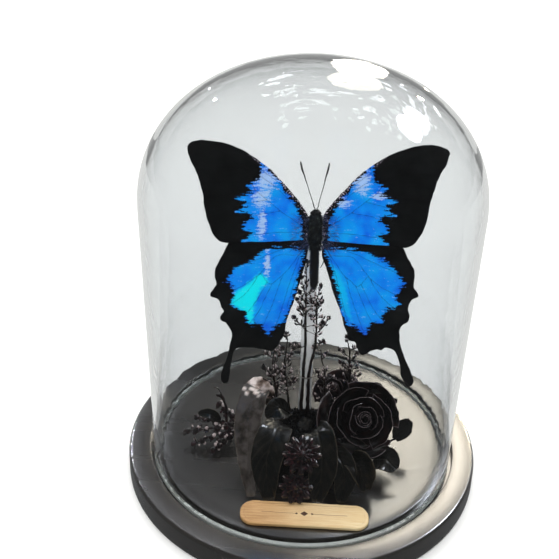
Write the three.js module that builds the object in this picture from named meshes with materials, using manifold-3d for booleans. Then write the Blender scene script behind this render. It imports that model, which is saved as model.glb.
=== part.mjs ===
// Butterfly specimen under a glass dome, above preserved dark flowers on a turned base.
// Units are millimetres and +Z is up. The origin is the centre of the base's underside,
// and the front, where the label lies, looks along -Y.

import * as THREE from 'three';
import { mergeVertices } from 'three/addons/utils/BufferGeometryUtils.js';
import { TessellateModifier } from 'three/addons/modifiers/TessellateModifier.js';
import Module from 'manifold-3d';

const wasm = await Module();
wasm.setup();

// ---- driving dimensions ----

const GAP = 0.3;                 // clearance between pieces that touch
const ROUND_STEPS = 36;          // facets around the base and the dome
const SHORTEST_EDGE = 0.03;      // slivers thinner than this are closed up

const BASE_HEIGHT = 11;
const BASE_TOP_RADIUS = 80.3;
const BASE_FOOT_RADIUS = 81.8;
const BASE_ROUNDING = 1.1;
const BASE_TAPER = 0.2;                // the side leans in by this much up to its shoulder
const PLATEAU_RADIUS = 65.4;
const PLATEAU_EDGE = 0.5;              // bevel of the plateau's edge
const GROOVE_OUTER_RADIUS = 71.5;
const GROOVE_DEPTH = 3.5;

const GLASS_RADIUS = 70;
const GLASS_SHOULDER_RADIUS = 70.7;
const GLASS_WALL = 2.4;
const GLASS_FOOT_LENGTH = 40;          // straight part below the slight widening
const GLASS_STRAIGHT_HEIGHT = 122.8;   // above the base's top
const GLASS_CAP_HEIGHT = 56.5;
const GLASS_CAP_POWER = 2.11;          // 2 is an ellipse, more is squarer
const GLASS_CAP_STEPS = 6;

const PLAQUE_LENGTH = 54;
const PLAQUE_WIDTH = 13.4;
const PLAQUE_THICKNESS = 1.6;
const PLAQUE_CORNER = 5.8;
const PLAQUE_CENTRE = [2.8, -53.4];

const ROD_RADIUS = 3;
const ROD_CENTRE = [1, 3.2];
const ROD_TOP = 122.4;
const TIE_HEIGHT = 46.4;
const TIE_WIRE_RADIUS = 0.35;
const TIE_CENTRE_Y = 1.85;
const TIE_HALF_WIDTH = 3.8;
const TIE_HALF_DEPTH = 4.95;

const THORAX_CENTRE = new THREE.Vector3(2, -3, 122.4);
const BODY_LEAN = THREE.MathUtils.degToRad(22);    // head further back than the tail
const BODY_ROLL = THREE.MathUtils.degToRad(1);
const WING_RISE = THREE.MathUtils.degToRad(6);     // tips further forward than the roots
const WING_THICKNESS = 0.5;
const WING_CAMBER = 1.5;
const WING_CAMBER_SPAN = 56;
const HINDWING_DROP = 0.95;                        // hindwings lie behind the forewings
const TAIL_SWEEP_START = -30;
const TAIL_SWEEP = 0.004;
const WING_FACET = 13;

const PETAL_THICKNESS = 0.5;
const LEAF_THICKNESS = 0.7;
const GOLDEN_ANGLE = THREE.MathUtils.degToRad(137.5);
const PLATEAU_REST = BASE_HEIGHT + GAP;
const STEM_START = BASE_HEIGHT - 1;                // stems start in the plateau and are cut off above it

// ---- materials ----

function finish(color, roughness, metalness = 0) {
  return new THREE.MeshStandardMaterial({ color, roughness, metalness });
}

const blackWood = finish('#1b1917', 0.45);
const clearGlass = finish('#e8eeea', 0.05);
clearGlass.transparent = true;
clearGlass.opacity = 0.25;
const paleWood = finish('#dcbc8c', 0.7);
const clearAcrylic = finish('#eef2f2', 0.08);
const steelWire = finish('#8d8f90', 0.35, 1);
const insectBody = finish('#15130f', 0.7);
const wingScales = finish('#0a6fd8', 0.45);
const blackPetal = finish('#17110f', 0.35);
const darkLeaf = finish('#1a1d17', 0.5);
const driedStem = finish('#2b1d17', 0.8);
const driedBud = finish('#2a1216', 0.6);
const driedMoss = finish('#191511', 0.95);

// ---- making closed meshes ----

function vec(point) {
  return point.isVector3 ? point.clone() : new THREE.Vector3(...point);
}

// A repeatable scatter: the same whole number always gives the same share of 1.
function scatter(index) {
  const value = Math.sin(index * 12.9898 + 4.1414) * 43758.5453;
  return value - Math.floor(value);
}

function closedMesh(points, triangles) {
  const geometry = new THREE.BufferGeometry();
  const places = points.flatMap((point) => [point.x, point.y, point.z]);
  geometry.setAttribute('position', new THREE.Float32BufferAttribute(places, 3));
  geometry.setIndex(triangles);
  return geometry;
}

function ringOf(sides, place) {
  return Array.from({ length: sides }, (_, side) => place((2 * Math.PI * side) / sides, side));
}

function middleOf(ring) {
  return ring.reduce((sum, point) => sum.add(point), new THREE.Vector3()).divideScalar(ring.length);
}

// Joins equal rings of points into a closed skin, with a fan at each end.
function loft(rings) {
  const sides = rings[0].length;
  const points = rings.flat();
  const triangles = [];
  for (let ring = 0; ring < rings.length - 1; ring++) {
    for (let side = 0; side < sides; side++) {
      const next = (side + 1) % sides;
      const a = ring * sides + side;
      const b = ring * sides + next;
      triangles.push(a, b, b + sides, a, b + sides, a + sides);
    }
  }
  const lastRing = (rings.length - 1) * sides;
  const first = points.push(middleOf(rings[0])) - 1;
  const last = points.push(middleOf(rings.at(-1))) - 1;
  for (let side = 0; side < sides; side++) {
    const next = (side + 1) % sides;
    triangles.push(first, next, side, last, lastRing + side, lastRing + next);
  }
  return closedMesh(points, triangles);
}

// A round stem along a list of points, with one radius for each point.
function stem(path, radii, sides = 5) {
  const points = path.map(vec);
  const rings = [];
  let across = null;
  points.forEach((point, index) => {
    const before = points[Math.max(index - 1, 0)];
    const after = points[Math.min(index + 1, points.length - 1)];
    const along = after.clone().sub(before).normalize();
    const hint = across ?? new THREE.Vector3(0.31, 0.87, 0.23);
    across = hint.clone().addScaledVector(along, -hint.dot(along)).normalize();
    const toSide = across;
    const other = along.clone().cross(toSide);
    rings.push(ringOf(sides, (turn) => point.clone()
      .addScaledVector(toSide, radii[index] * Math.cos(turn))
      .addScaledVector(other, radii[index] * Math.sin(turn))));
  });
  return loft(rings);
}

// The grid points round the edge of a sheet, in order.
function rimOf(across, along) {
  const width = across + 1;
  const rim = [];
  for (let i = 0; i < across; i++) {
    rim.push(i);
  }
  for (let j = 0; j < along; j++) {
    rim.push(j * width + across);
  }
  for (let i = across; i > 0; i--) {
    rim.push(along * width + i);
  }
  for (let j = along; j > 0; j--) {
    rim.push(j * width);
  }
  return rim;
}

// A thin closed sheet over surface(u, v), with u from -1 to 1 and v from 0 to 1.
function sheet(surface, across, along, thickness) {
  const grid = [];
  for (let j = 0; j <= along; j++) {
    grid.push(Array.from({ length: across + 1 }, (_, i) => surface(-1 + (2 * i) / across, j / along)));
  }
  const front = [];
  const back = [];
  for (let j = 0; j <= along; j++) {
    for (let i = 0; i <= across; i++) {
      const du = grid[j][Math.min(i + 1, across)].clone().sub(grid[j][Math.max(i - 1, 0)]);
      const dv = grid[Math.min(j + 1, along)][i].clone().sub(grid[Math.max(j - 1, 0)][i]);
      const normal = du.cross(dv).normalize().multiplyScalar(thickness / 2);
      front.push(grid[j][i].clone().add(normal));
      back.push(grid[j][i].clone().sub(normal));
    }
  }
  const width = across + 1;
  const offset = front.length;
  const triangles = [];
  const quad = (a, b, c, d) => triangles.push(a, b, c, a, c, d);
  for (let j = 0; j < along; j++) {
    for (let i = 0; i < across; i++) {
      const a = j * width + i;
      quad(a, a + 1, a + 1 + width, a + width);
      quad(offset + a, offset + a + width, offset + a + 1 + width, offset + a + 1);
    }
  }
  const rim = rimOf(across, along);
  rim.forEach((a, index) => {
    const b = rim[(index + 1) % rim.length];
    quad(b, a, offset + a, offset + b);
  });
  return closedMesh([...front, ...back], triangles);
}

function lathe(profile, steps) {
  const geometry = new THREE.LatheGeometry(profile.map(([r, z]) => new THREE.Vector2(r, z)), steps);
  geometry.rotateX(Math.PI / 2);
  return geometry;
}

// ---- joining and cutting ----

function solidOf(geometry) {
  const bare = geometry.clone();
  bare.deleteAttribute('normal');
  bare.deleteAttribute('uv');
  const merged = mergeVertices(bare, 1e-5);
  return new wasm.Manifold(new wasm.Mesh({
    numProp: 3,
    vertProperties: new Float32Array(merged.attributes.position.array),
    triVerts: new Uint32Array(merged.index.array),
  }));
}

function geometryOf(solid) {
  const mesh = solid.getMesh();
  const geometry = new THREE.BufferGeometry();
  geometry.setAttribute('position', new THREE.BufferAttribute(mesh.vertProperties, 3));
  geometry.setIndex(new THREE.BufferAttribute(mesh.triVerts, 1));
  return geometry;
}

function fuse(geometries) {
  return geometries.map(solidOf).reduce((whole, piece) => whole.add(piece));
}

function largestBody(solid) {
  return solid.decompose().reduce((best, body) => (body.volume() > best.volume() ? body : best));
}

function boxesMeet(a, b) {
  return [0, 1, 2].every((axis) => a.min[axis] < b.max[axis] && b.min[axis] < a.max[axis]);
}

// ---- the case ----

const specimen = new THREE.Group();

function addPiece(name, geometry, material) {
  const mesh = new THREE.Mesh(geometry, material);
  mesh.name = name;
  specimen.add(mesh);
  return mesh;
}

function makeBase() {
  const top = BASE_HEIGHT;
  const floor = BASE_HEIGHT - GROOVE_DEPTH;
  const rounding = BASE_ROUNDING;
  const profile = [
    [0, 0],
    [BASE_FOOT_RADIUS - rounding, 0],
    [BASE_FOOT_RADIUS, rounding],
    [BASE_FOOT_RADIUS - BASE_TAPER, top - rounding * 1.4],
    [BASE_TOP_RADIUS + rounding * 0.7, top - rounding * 0.4],
    [BASE_TOP_RADIUS, top],
    [GROOVE_OUTER_RADIUS, top],
    [GROOVE_OUTER_RADIUS, floor],
    [PLATEAU_RADIUS + PLATEAU_EDGE, floor],
    [PLATEAU_RADIUS + PLATEAU_EDGE, top - PLATEAU_EDGE],
    [PLATEAU_RADIUS, top],
    [0, top],
  ];
  addPiece('base_board', lathe(profile, ROUND_STEPS), blackWood);
}

function makeDome() {
  const foot = BASE_HEIGHT - GROOVE_DEPTH + GAP;
  const shoulder = BASE_HEIGHT + GLASS_STRAIGHT_HEIGHT;
  const bend = foot + GLASS_FOOT_LENGTH;
  const footRadius = GLASS_RADIUS - GLASS_WALL;
  const shoulderRadius = GLASS_SHOULDER_RADIUS - GLASS_WALL;
  const share = 2 / GLASS_CAP_POWER;
  const outer = [[GLASS_RADIUS, foot], [GLASS_RADIUS, bend]];
  const inner = [[footRadius, foot], [footRadius, bend]];
  for (let step = 0; step <= GLASS_CAP_STEPS; step++) {
    const turn = (Math.PI / 2) * (step / GLASS_CAP_STEPS);
    const reach = Math.max(Math.cos(turn), 0) ** share;
    const rise = Math.sin(turn) ** share;
    outer.push([GLASS_SHOULDER_RADIUS * reach, shoulder + GLASS_CAP_HEIGHT * rise]);
    inner.push([shoulderRadius * reach, shoulder + (GLASS_CAP_HEIGHT - GLASS_WALL) * rise]);
  }
  outer.at(-1)[0] = 0;
  inner.at(-1)[0] = 0;
  const profile = [...inner.slice().reverse(), ...outer];
  addPiece('glass_dome', lathe(profile, ROUND_STEPS), clearGlass);
}

function makePlaque() {
  const halfLength = PLAQUE_LENGTH / 2 - PLAQUE_CORNER;
  const halfWidth = PLAQUE_WIDTH / 2 - PLAQUE_CORNER;
  const outline = new THREE.Shape();
  const quarter = Math.PI / 2;
  outline.absarc(halfLength, halfWidth, PLAQUE_CORNER, 0, quarter);
  outline.absarc(-halfLength, halfWidth, PLAQUE_CORNER, quarter, 2 * quarter);
  outline.absarc(-halfLength, -halfWidth, PLAQUE_CORNER, 2 * quarter, 3 * quarter);
  outline.absarc(halfLength, -halfWidth, PLAQUE_CORNER, 3 * quarter, 4 * quarter);
  const geometry = new THREE.ExtrudeGeometry(outline, {
    depth: PLAQUE_THICKNESS,
    bevelEnabled: false,
    curveSegments: 4,
  });
  const plaque = addPiece('label_plaque', geometry, paleWood);
  plaque.position.set(...PLAQUE_CENTRE, PLATEAU_REST);
}

// ---- the rod and its tie ----

function makeRod() {
  const length = ROD_TOP - PLATEAU_REST;
  const geometry = new THREE.CylinderGeometry(ROD_RADIUS, ROD_RADIUS, length, 16);
  geometry.rotateX(Math.PI / 2);
  const rod = addPiece('support_rod', geometry, clearAcrylic);
  rod.position.set(...ROD_CENTRE, PLATEAU_REST + length / 2);
}

function makeTie() {
  const geometry = new THREE.TorusGeometry(1, TIE_WIRE_RADIUS / TIE_HALF_DEPTH, 4, 20);
  const tie = addPiece('wire_tie', geometry, steelWire);
  tie.scale.set(TIE_HALF_WIDTH, TIE_HALF_DEPTH, TIE_HALF_DEPTH);
  tie.position.set(ROD_CENTRE[0], TIE_CENTRE_Y, TIE_HEIGHT);
}

// ---- the butterfly ----
// Body places are (across, along, lift): across to the right, along towards the head,
// and lift out of the wings' plane towards the front.

const bodyRight = new THREE.Vector3(1, 0, 0);
const bodyUp = new THREE.Vector3(0, Math.sin(BODY_LEAN), Math.cos(BODY_LEAN));
const bodyFront = bodyRight.clone().cross(bodyUp);
bodyRight.applyAxisAngle(bodyFront, BODY_ROLL);
bodyUp.applyAxisAngle(bodyFront, BODY_ROLL);

function onBody(across, along, lift = 0) {
  return THORAX_CENTRE.clone()
    .addScaledVector(bodyRight, across)
    .addScaledVector(bodyUp, along)
    .addScaledVector(bodyFront, lift);
}

function wingBow(span, along) {
  const camber = WING_CAMBER * Math.sin((Math.PI * span) / WING_CAMBER_SPAN);
  const below = Math.min(along - TAIL_SWEEP_START, 0);
  return camber - TAIL_SWEEP * below * below;
}

// side is 1 for the right wings and -1 for the left ones; span runs outwards from the body.
function onWing(side, span, along, lift) {
  const outward = bodyRight.clone().multiplyScalar(side * Math.cos(WING_RISE))
    .addScaledVector(bodyFront, Math.sin(WING_RISE));
  const facing = bodyFront.clone().multiplyScalar(Math.cos(WING_RISE))
    .addScaledVector(bodyRight, -side * Math.sin(WING_RISE));
  return THORAX_CENTRE.clone()
    .addScaledVector(outward, span)
    .addScaledVector(bodyUp, along)
    .addScaledVector(facing, lift + wingBow(span, along));
}

const FOREWING_OUTLINE = [
  [3.2, 4.6], [5.3, 8.6], [9.5, 13.6], [14, 18.6], [19.2, 23.6], [24.4, 27.4], [29.9, 30.7],
  [35.8, 33.1], [41.5, 34.3], [46.2, 34.6], [50, 34], [52.2, 32.7], [52.8, 30.6], [52, 27.4],
  [50, 23.4], [48.2, 19], [46.6, 13.4], [45.6, 7.6], [44.6, 2.4], [43, -1.8], [41.2, -4.6],
  [39.2, -6.2], [36, -6.8], [30, -6.2], [19, -5.8], [11.6, -5.5], [6.5, -5.2], [3.3, -3.6],
];

const HINDWING_RIGHT_OUTLINE = [
  [3.2, -5.4], [3.1, -11.6], [5, -16.7], [6.4, -20.9], [7.8, -25.5], [9.6, -30.1], [11.5, -34.3],
  [13, -39.9], [14.1, -42.8], [15.3, -46.3], [17.9, -47], [18.8, -49.6], [20.4, -52.2],
  [22.7, -51.9], [24.3, -50.5], [26.8, -49.5], [28.9, -49.9], [30.6, -48.7], [32.3, -48.8],
  [34.4, -50], [35.8, -53.4], [36.8, -56.8], [37.4, -61.1], [40.2, -65.3], [42.2, -64.6],
  [42.5, -61.6], [40.6, -57.4], [38.8, -53.2], [37.3, -49.4], [36.3, -45.6], [36, -41.3],
  [37.1, -38.7], [39.3, -37.1], [39.9, -34.7], [39.1, -31.3], [40.6, -27.9], [43.2, -26.3],
  [42.5, -24.4], [41, -22.4], [41.1, -16.5], [40, -14], [37.8, -10.3], [35, -5.6], [28, -3.6],
  [12, -3.2], [6, -3.6],
];

const HINDWING_LEFT_OUTLINE = [
  [3.2, -5.4], [3, -11.4], [5, -20.3], [8.2, -30.3], [11, -39.3], [12, -45.4], [15.2, -50.6],
  [16.8, -51.9], [21, -51.1], [26.1, -50.3], [31.9, -51.2], [33.4, -55.3], [34.1, -60.5],
  [34.7, -65.6], [36.3, -66.9], [37.9, -64.9], [37.5, -61.5], [36.3, -57.5], [35.1, -53.1],
  [34.3, -48.8], [33.7, -44.8], [34.7, -42.2], [36.1, -39.8], [38, -39], [38.4, -37.1],
  [37.2, -34.9], [38.3, -33.2], [39.3, -30.2], [42.5, -28.8], [42.4, -26.9], [40.5, -23.9],
  [41.2, -20.9], [41, -17.5], [39.4, -14.1], [37.3, -10.3], [34.6, -5.6], [28, -3.6],
  [12, -3.2], [6, -3.6],
];

function makeWing(name, side, outline, lift) {
  const shape = new THREE.Shape(outline.map(([span, along]) => new THREE.Vector2(span, along)));
  const flat = new THREE.ExtrudeGeometry(shape, { depth: WING_THICKNESS, bevelEnabled: false });
  flat.deleteAttribute('uv');
  flat.deleteAttribute('normal');
  const fine = new TessellateModifier(WING_FACET, 8).modify(flat);
  const place = fine.attributes.position;
  for (let i = 0; i < place.count; i++) {
    const depth = place.getZ(i) - WING_THICKNESS / 2;
    const point = onWing(side, place.getX(i), place.getY(i), lift + depth);
    place.setXYZ(i, point.x, point.y, point.z);
  }
  const geometry = mergeVertices(fine, 1e-4);
  if (side < 0) {
    geometry.index.array.reverse();
  }
  addPiece(name, geometry, wingScales);
}

const BODY_PROFILE = [
  [0.9, -25.4], [1.6, -23], [1.95, -19], [2, -14], [1.85, -9.5], [1.5, -7], [2.2, -5.2],
  [2.65, -2.5], [2.7, 0.5], [2.3, 3], [1.3, 4.2], [1.9, 5.2], [2, 6.3], [1.2, 7.7],
];

const EYE_RADIUS = 0.95;
const LEG_RADIUS = 0.3;
const LEG_PATHS = [
  [[-1.4, -3, -1], [-3.9, -12.5, -3.2], [-3.1, -20.5, -4]],
  [[1.4, -3, -1], [3.9, -12.8, -3.2], [2.7, -17, -3.6]],
  [[-1.2, 1.5, -1.2], [-3.4, -2, -4.2], [-2.6, -7, -4.8]],
];

function makeBody() {
  const rings = BODY_PROFILE.map(([radius, along]) => (
    ringOf(10, (turn) => onBody(radius * Math.sin(turn), along, radius * Math.cos(turn)))));
  const eyes = [-1, 1].map((side) => {
    const eye = new THREE.IcosahedronGeometry(EYE_RADIUS, 1);
    eye.translate(...onBody(side * 1.45, 6.2, 0.6));
    return eye;
  });
  const legs = LEG_PATHS.map((path) => {
    const points = path.map((place) => onBody(...place));
    return stem(points, points.map(() => LEG_RADIUS), 3);
  });
  addPiece('butterfly_body', geometryOf(fuse([loft(rings), ...eyes, ...legs])), insectBody);
}

const ANTENNAE = {
  antenna_left: [[-0.75, 8.3, 0.8], [-2, 12.4, 1.6], [-4, 18.2, 1.8], [-6, 24, 1.4], [-6.9, 27, 1]],
  antenna_right: [[0.75, 8.3, 0.8], [1.6, 12.4, 1.6], [3, 18, 1.8], [4.5, 24, 1.4], [5.1, 26.9, 1]],
};
const ANTENNA_RADII = [0.22, 0.22, 0.24, 0.5, 0.36];

function makeAntennae() {
  for (const [name, path] of Object.entries(ANTENNAE)) {
    addPiece(name, stem(path.map((place) => onBody(...place)), ANTENNA_RADII, 5), insectBody);
  }
}

// ---- plants ----
// Every plant piece is cut back to leave GAP round the pieces placed before it.

const placed = [];

// make(grow) builds the piece with every skin moved out by grow.
// Pieces of one family already fit each other and aren't cut.
function nestle(name, family, material, make) {
  let solid = make(0);
  for (const other of placed) {
    if (other.family !== family && boxesMeet(solid.boundingBox(), other.room.boundingBox())) {
      solid = solid.subtract(other.room);
    }
  }
  addPiece(name, geometryOf(largestBody(solid.simplify(SHORTEST_EDGE))), material);
  placed.push({ family, room: make(GAP) });
}

// Sprays: a dried stem with twigs; each twig ends in a bud. A tip is the share of the stem
// where its twig leaves and the place of its bud; the other sprays wind their twigs round.
const SPRAYS = [
  {
    name: 'spray_tall_left',
    path: [
      [-0.8, -1.6, 12], [-0.3, -1.5, 46], [0, -1.4, 62], [-0.2, -1.3, 74], [-0.5, -1.4, 84],
      [-0.6, -1.8, 93],
    ],
    thick: 0.62,
    tips: [
      [0.42, -5.4, -2, 62], [0.58, -5.6, -1.2, 78], [0.7, -4.6, -1.4, 87.5], [0.74, -1.8, -3.4, 84],
      [0.84, -3.6, -1.6, 91], [0.9, -2.9, -2.4, 98.5], [0.97, -0.9, -2.6, 106.5],
    ],
  },
  {
    name: 'spray_tall_right',
    path: [
      [2.8, -1.6, 12], [2.4, -1.5, 46], [4, -1.4, 60], [4.8, -1.3, 70], [4.4, -1.4, 80],
      [3.8, -1.8, 88],
    ],
    thick: 0.6,
    tips: [
      [0.5, 8.4, -2, 66], [0.6, 9.8, -1.2, 78.5], [0.66, 7.4, -1.6, 76], [0.74, 1.9, -2.4, 80],
      [0.86, 6.6, -1.4, 87], [0.97, 5.6, -2, 95],
    ],
  },
  {
    name: 'spray_left_inner',
    path: [[-5, 4.6, 12], [-7.4, 4.6, 32], [-9, 4.4, 48], [-8.2, 4.2, 63]],
    thick: 0.5,
    twigs: 7,
    reach: 6.5,
  },
  {
    name: 'spray_left_outer',
    path: [[-9.5, 3, 12], [-12.4, 3.6, 32], [-14.8, 4, 47], [-13.4, 4, 60]],
    thick: 0.5,
    twigs: 7,
    reach: 6.5,
  },
  {
    name: 'spray_right_inner',
    path: [[7.6, -2.8, 12], [9.8, -1.4, 34], [9.2, 0.6, 47], [7, 1.6, 60]],
    thick: 0.5,
    twigs: 5,
    reach: 5.5,
  },
  {
    name: 'spray_right_outer',
    path: [[19.5, 22, 12], [22, 14, 32], [21.6, 11, 46], [20.2, 10, 58]],
    thick: 0.55,
    twigs: 7,
    reach: 7.5,
  },
];
const BUD_RADIUS = 1.05;
const BUD_REACH = 1.3;
const TWIG_LEAN = THREE.MathUtils.degToRad(52);

// The twigs of a spray as [where they leave the stem, their tip].
function twigsOf(spray, curve) {
  if (spray.tips) {
    return spray.tips.map(([share, ...tip]) => [curve.getPoint(share), vec(tip)]);
  }
  const upright = new THREE.Vector3(0, 0, 1);
  const twigs = [];
  for (let index = 0; index < spray.twigs; index++) {
    const share = 0.42 + (0.56 * index) / (spray.twigs - 1);
    const from = curve.getPoint(share);
    const along = curve.getTangent(share);
    const side = new THREE.Vector3(1, 0, 0).applyAxisAngle(upright, index * GOLDEN_ANGLE);
    side.y *= 0.6;
    const length = spray.reach * (1.25 - 0.6 * share) * (0.8 + 0.4 * scatter(index));
    const tip = from.clone()
      .addScaledVector(along, length * Math.cos(TWIG_LEAN))
      .addScaledVector(side, length * Math.sin(TWIG_LEAN));
    twigs.push([from, tip]);
  }
  return twigs;
}

function makeSpray(spray, grow) {
  const curve = new THREE.CatmullRomCurve3(spray.path.map(vec), false, 'catmullrom', 0.5);
  const steps = 5;
  const points = curve.getPoints(steps);
  points[0].z = STEM_START;
  const radii = points.map((_, index) => spray.thick * (1 - (0.45 * index) / steps) + grow);
  const parts = [stem(points, radii, 4)];
  for (const [from, tip] of twigsOf(spray, curve)) {
    const along = tip.clone().sub(from).normalize();
    const neck = tip.clone().addScaledVector(along, -BUD_REACH);
    const end = tip.clone().addScaledVector(along, BUD_REACH);
    const widths = [0.36, 0.34, BUD_RADIUS, 0.3].map((radius) => radius + grow);
    parts.push(stem([from, neck, tip, end], widths, 3));
  }
  return fuse(parts);
}

// Leaves: a midrib through a few points, a width, and the way the upper face looks.
const LEAVES = [
  {
    name: 'leaf_left_drooping',
    rib: [[-14, 3, 27], [-21, -1, 37.5], [-24, -20, 29], [-20.5, -45, 12.8]],
    width: 13,
    face: [-0.2, -0.6, 0.75],
    cup: 0.25,
    foot: [-11, 1],
  },
  {
    name: 'leaf_front_left',
    rib: [[-8, -12, 27], [-11, -24, 33], [-14.4, -37, 26], [-12.5, -46.5, 12.8]],
    width: 15,
    face: [-0.1, -0.7, 0.7],
    cup: 0.2,
    foot: [-7, -9],
  },
  {
    name: 'leaf_front_middle',
    rib: [[5, -14, 27], [7.6, -26, 33.5], [9.6, -38, 25], [8, -46, 12.8]],
    width: 14,
    face: [0, -0.7, 0.7],
    cup: 0.2,
    foot: [4, -10],
  },
  {
    name: 'leaf_front_right',
    rib: [[13, -22, 22], [17, -32, 26], [19.6, -39, 20.5], [18, -45.5, 12.8]],
    width: 11,
    face: [0.1, -0.7, 0.7],
    cup: 0.2,
    foot: [11, -17],
  },
  {
    name: 'leaf_right_rolled',
    rib: [[22, -29, 24], [26, -34.4, 23.5], [29.6, -38.4, 14]],
    width: 11,
    face: [0.2, -0.8, 0.5],
    cup: 0.8,
    foot: [20, -24],
  },
  {
    name: 'leaf_right_dark',
    rib: [[33, -21.5, 17], [38, -26.6, 21.5], [42.6, -30, 19]],
    width: 12,
    face: [0.2, -0.6, 0.75],
    cup: 0.15,
    foot: [31, -18],
  },
  {
    name: 'leaf_right_round',
    rib: [[43.4, -10, 19.6], [46.8, -8, 24.4], [50, -6.6, 28.6]],
    width: 8.6,
    face: [0.1, -0.85, 0.5],
    cup: 0.1,
    foot: [40, -8],
  },
  {
    name: 'leaf_right_top',
    rib: [[29.6, -1, 39.2], [33.6, -1, 41.4], [37.4, -1, 40]],
    width: 5.4,
    face: [0, -0.7, 0.7],
    cup: 0.2,
    foot: [27, 8],
  },
  {
    name: 'leaf_right_small',
    rib: [[36.5, 0, 31], [40, -1.6, 34.6], [43.8, -2, 35.6]],
    width: 5.4,
    face: [0, -0.7, 0.7],
    cup: 0.2,
    foot: [34, 5],
  },
  {
    name: 'leaf_left_slender',
    rib: [[-38.6, -5, 21], [-43, -6, 25.6], [-48.5, -6.6, 26]],
    width: 5,
    face: [0, -0.6, 0.8],
    cup: 0.3,
    foot: [-33, -1],
  },
  {
    name: 'leaf_left_high',
    rib: [[-6, -6, 28.6], [-10.6, -10.4, 34], [-16, -15, 32.2]],
    width: 11,
    face: [0.1, -0.5, 0.85],
    cup: 0.22,
    foot: [-5, -5.6],
  },
];
const PETIOLE_RADIUS = 0.55;

function leafSurface(leaf) {
  const rib = new THREE.CatmullRomCurve3(leaf.rib.map(vec), false, 'catmullrom', 0.5);
  const face = vec(leaf.face).normalize();
  return (u, v) => {
    const along = rib.getTangent(v);
    const side = along.clone().cross(face).normalize();
    const up = side.clone().cross(along).normalize();
    const half = (leaf.width / 2) * (0.14 + 0.86 * Math.sin(Math.PI * (0.04 + 0.93 * v)) ** 0.8);
    return rib.getPoint(v)
      .addScaledVector(side, u * half)
      .addScaledVector(up, leaf.cup * half * u * u);
  };
}

function makeLeaf(leaf, grow) {
  const blade = sheet(leafSurface(leaf), 2, 5, LEAF_THICKNESS + 2 * grow);
  const [x, y] = leaf.foot;
  const root = vec(leaf.rib[0]);
  const inside = root.clone().lerp(vec(leaf.rib[1]), 0.12);
  const bend = new THREE.Vector3(x, y, PLATEAU_REST).lerp(root, 0.5);
  bend.z += 2;
  const radius = PETIOLE_RADIUS + grow;
  const petiole = stem([[x, y, STEM_START], bend, root, inside], Array(4).fill(radius), 3);
  return fuse([blade, petiole]);
}

// Roses: nested bowls of petals round a heart, on a calyx with a stem.
const ROSES = [
  {
    name: 'rose_front',
    centre: [27, -14.6, 33],
    axis: [0.16, -0.68, 0.72],
    reach: 17.5,
    depth: 15,
    lift: 4,
    petals: 10,
    turn: 0.4,
    foot: [22, 3],
  },
  {
    name: 'rose_back',
    centre: [14.5, 11, 29],
    axis: [-0.1, -0.3, 0.95],
    reach: 11.5,
    depth: 11,
    lift: 3,
    petals: 6,
    turn: 1.9,
    foot: [14, 13],
  },
];
const PETAL_START = THREE.MathUtils.degToRad(13);
const PETAL_SPACE = PETAL_THICKNESS / 2 + 0.35;    // from a petal's middle to its neighbour's skin
const CALYX_PROFILE = [[0.8, -5], [2.4, -3.4], [3, -1.4], [2.2, 0]];
const ROSE_STALK_RADIUS = 0.9;
const HEART_PROFILE = [[0.3, 0], [0.6, 0.12], [0.88, 0.35], [0.9, 0.6], [0.66, 0.85], [0.3, 1]];
const HEART_RISE = 3;                              // the heart stands this far above the rim's height

// A function that places (radius, turn, height) round a flower's centre and axis.
function frameOf(rose) {
  const up = vec(rose.axis).normalize();
  const right = new THREE.Vector3(0, 0, 1).cross(up).normalize();
  const back = up.clone().cross(right);
  return (radius, turn, height) => vec(rose.centre)
    .addScaledVector(right, radius * Math.cos(turn))
    .addScaledVector(back, radius * Math.sin(turn))
    .addScaledVector(up, height);
}

function petalSurface(rose, index) {
  const share = (index + 1) / rose.petals;
  const at = frameOf(rose);
  const reach = rose.reach * (0.26 + 0.74 * share);
  const depth = rose.depth * (0.7 + 0.3 * share);
  const lift = rose.lift * (1 - share);
  const middle = rose.turn + index * GOLDEN_ANGLE;
  const halfTurn = THREE.MathUtils.degToRad(82 - 26 * share);
  const rimAngle = THREE.MathUtils.degToRad(112 - 22 * share);
  const flare = 2.6 * share * share;
  return (u, v) => {
    const rim = rimAngle - 0.32 * u * u;
    const bowl = PETAL_START + (rim - PETAL_START) * v;
    const opening = Math.max(v - 0.6, 0) / 0.4;
    const radius = reach * Math.sin(bowl) + flare * opening * opening;
    const width = halfTurn * (0.4 + 0.6 * Math.sin(Math.min(bowl, Math.PI / 2)));
    return at(radius, middle + u * width, lift - depth * Math.cos(bowl));
  };
}

function makeRoseHeart(rose, grow) {
  const at = frameOf(rose);
  const reach = rose.reach * (0.26 + 0.74 / rose.petals) - PETAL_SPACE + grow;
  const low = -rose.depth * (0.7 + 0.3 / rose.petals) + rose.lift + 1.4 - grow;
  const top = rose.lift + HEART_RISE + grow;
  const rings = HEART_PROFILE.map(([width, height]) => (
    ringOf(8, (turn) => at(reach * width, turn, low + (top - low) * height))));
  return solidOf(loft(rings));
}

function makeCalyx(rose, grow) {
  const at = frameOf(rose);
  const top = -rose.depth - PETAL_SPACE;
  const cup = loft(CALYX_PROFILE.map(([radius, height]) => (
    ringOf(8, (turn) => at(radius + grow, turn, top + height)))));
  const [x, y] = rose.foot;
  const neck = at(0, 0, top - 3);
  const low = at(0, 0, top - 6);
  const bend = low.clone().lerp(new THREE.Vector3(x, y, low.z), 0.5);
  const stalk = stem([[x, y, STEM_START], bend, neck], Array(3).fill(ROSE_STALK_RADIUS + grow), 6);
  return fuse([cup, stalk]);
}

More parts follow.
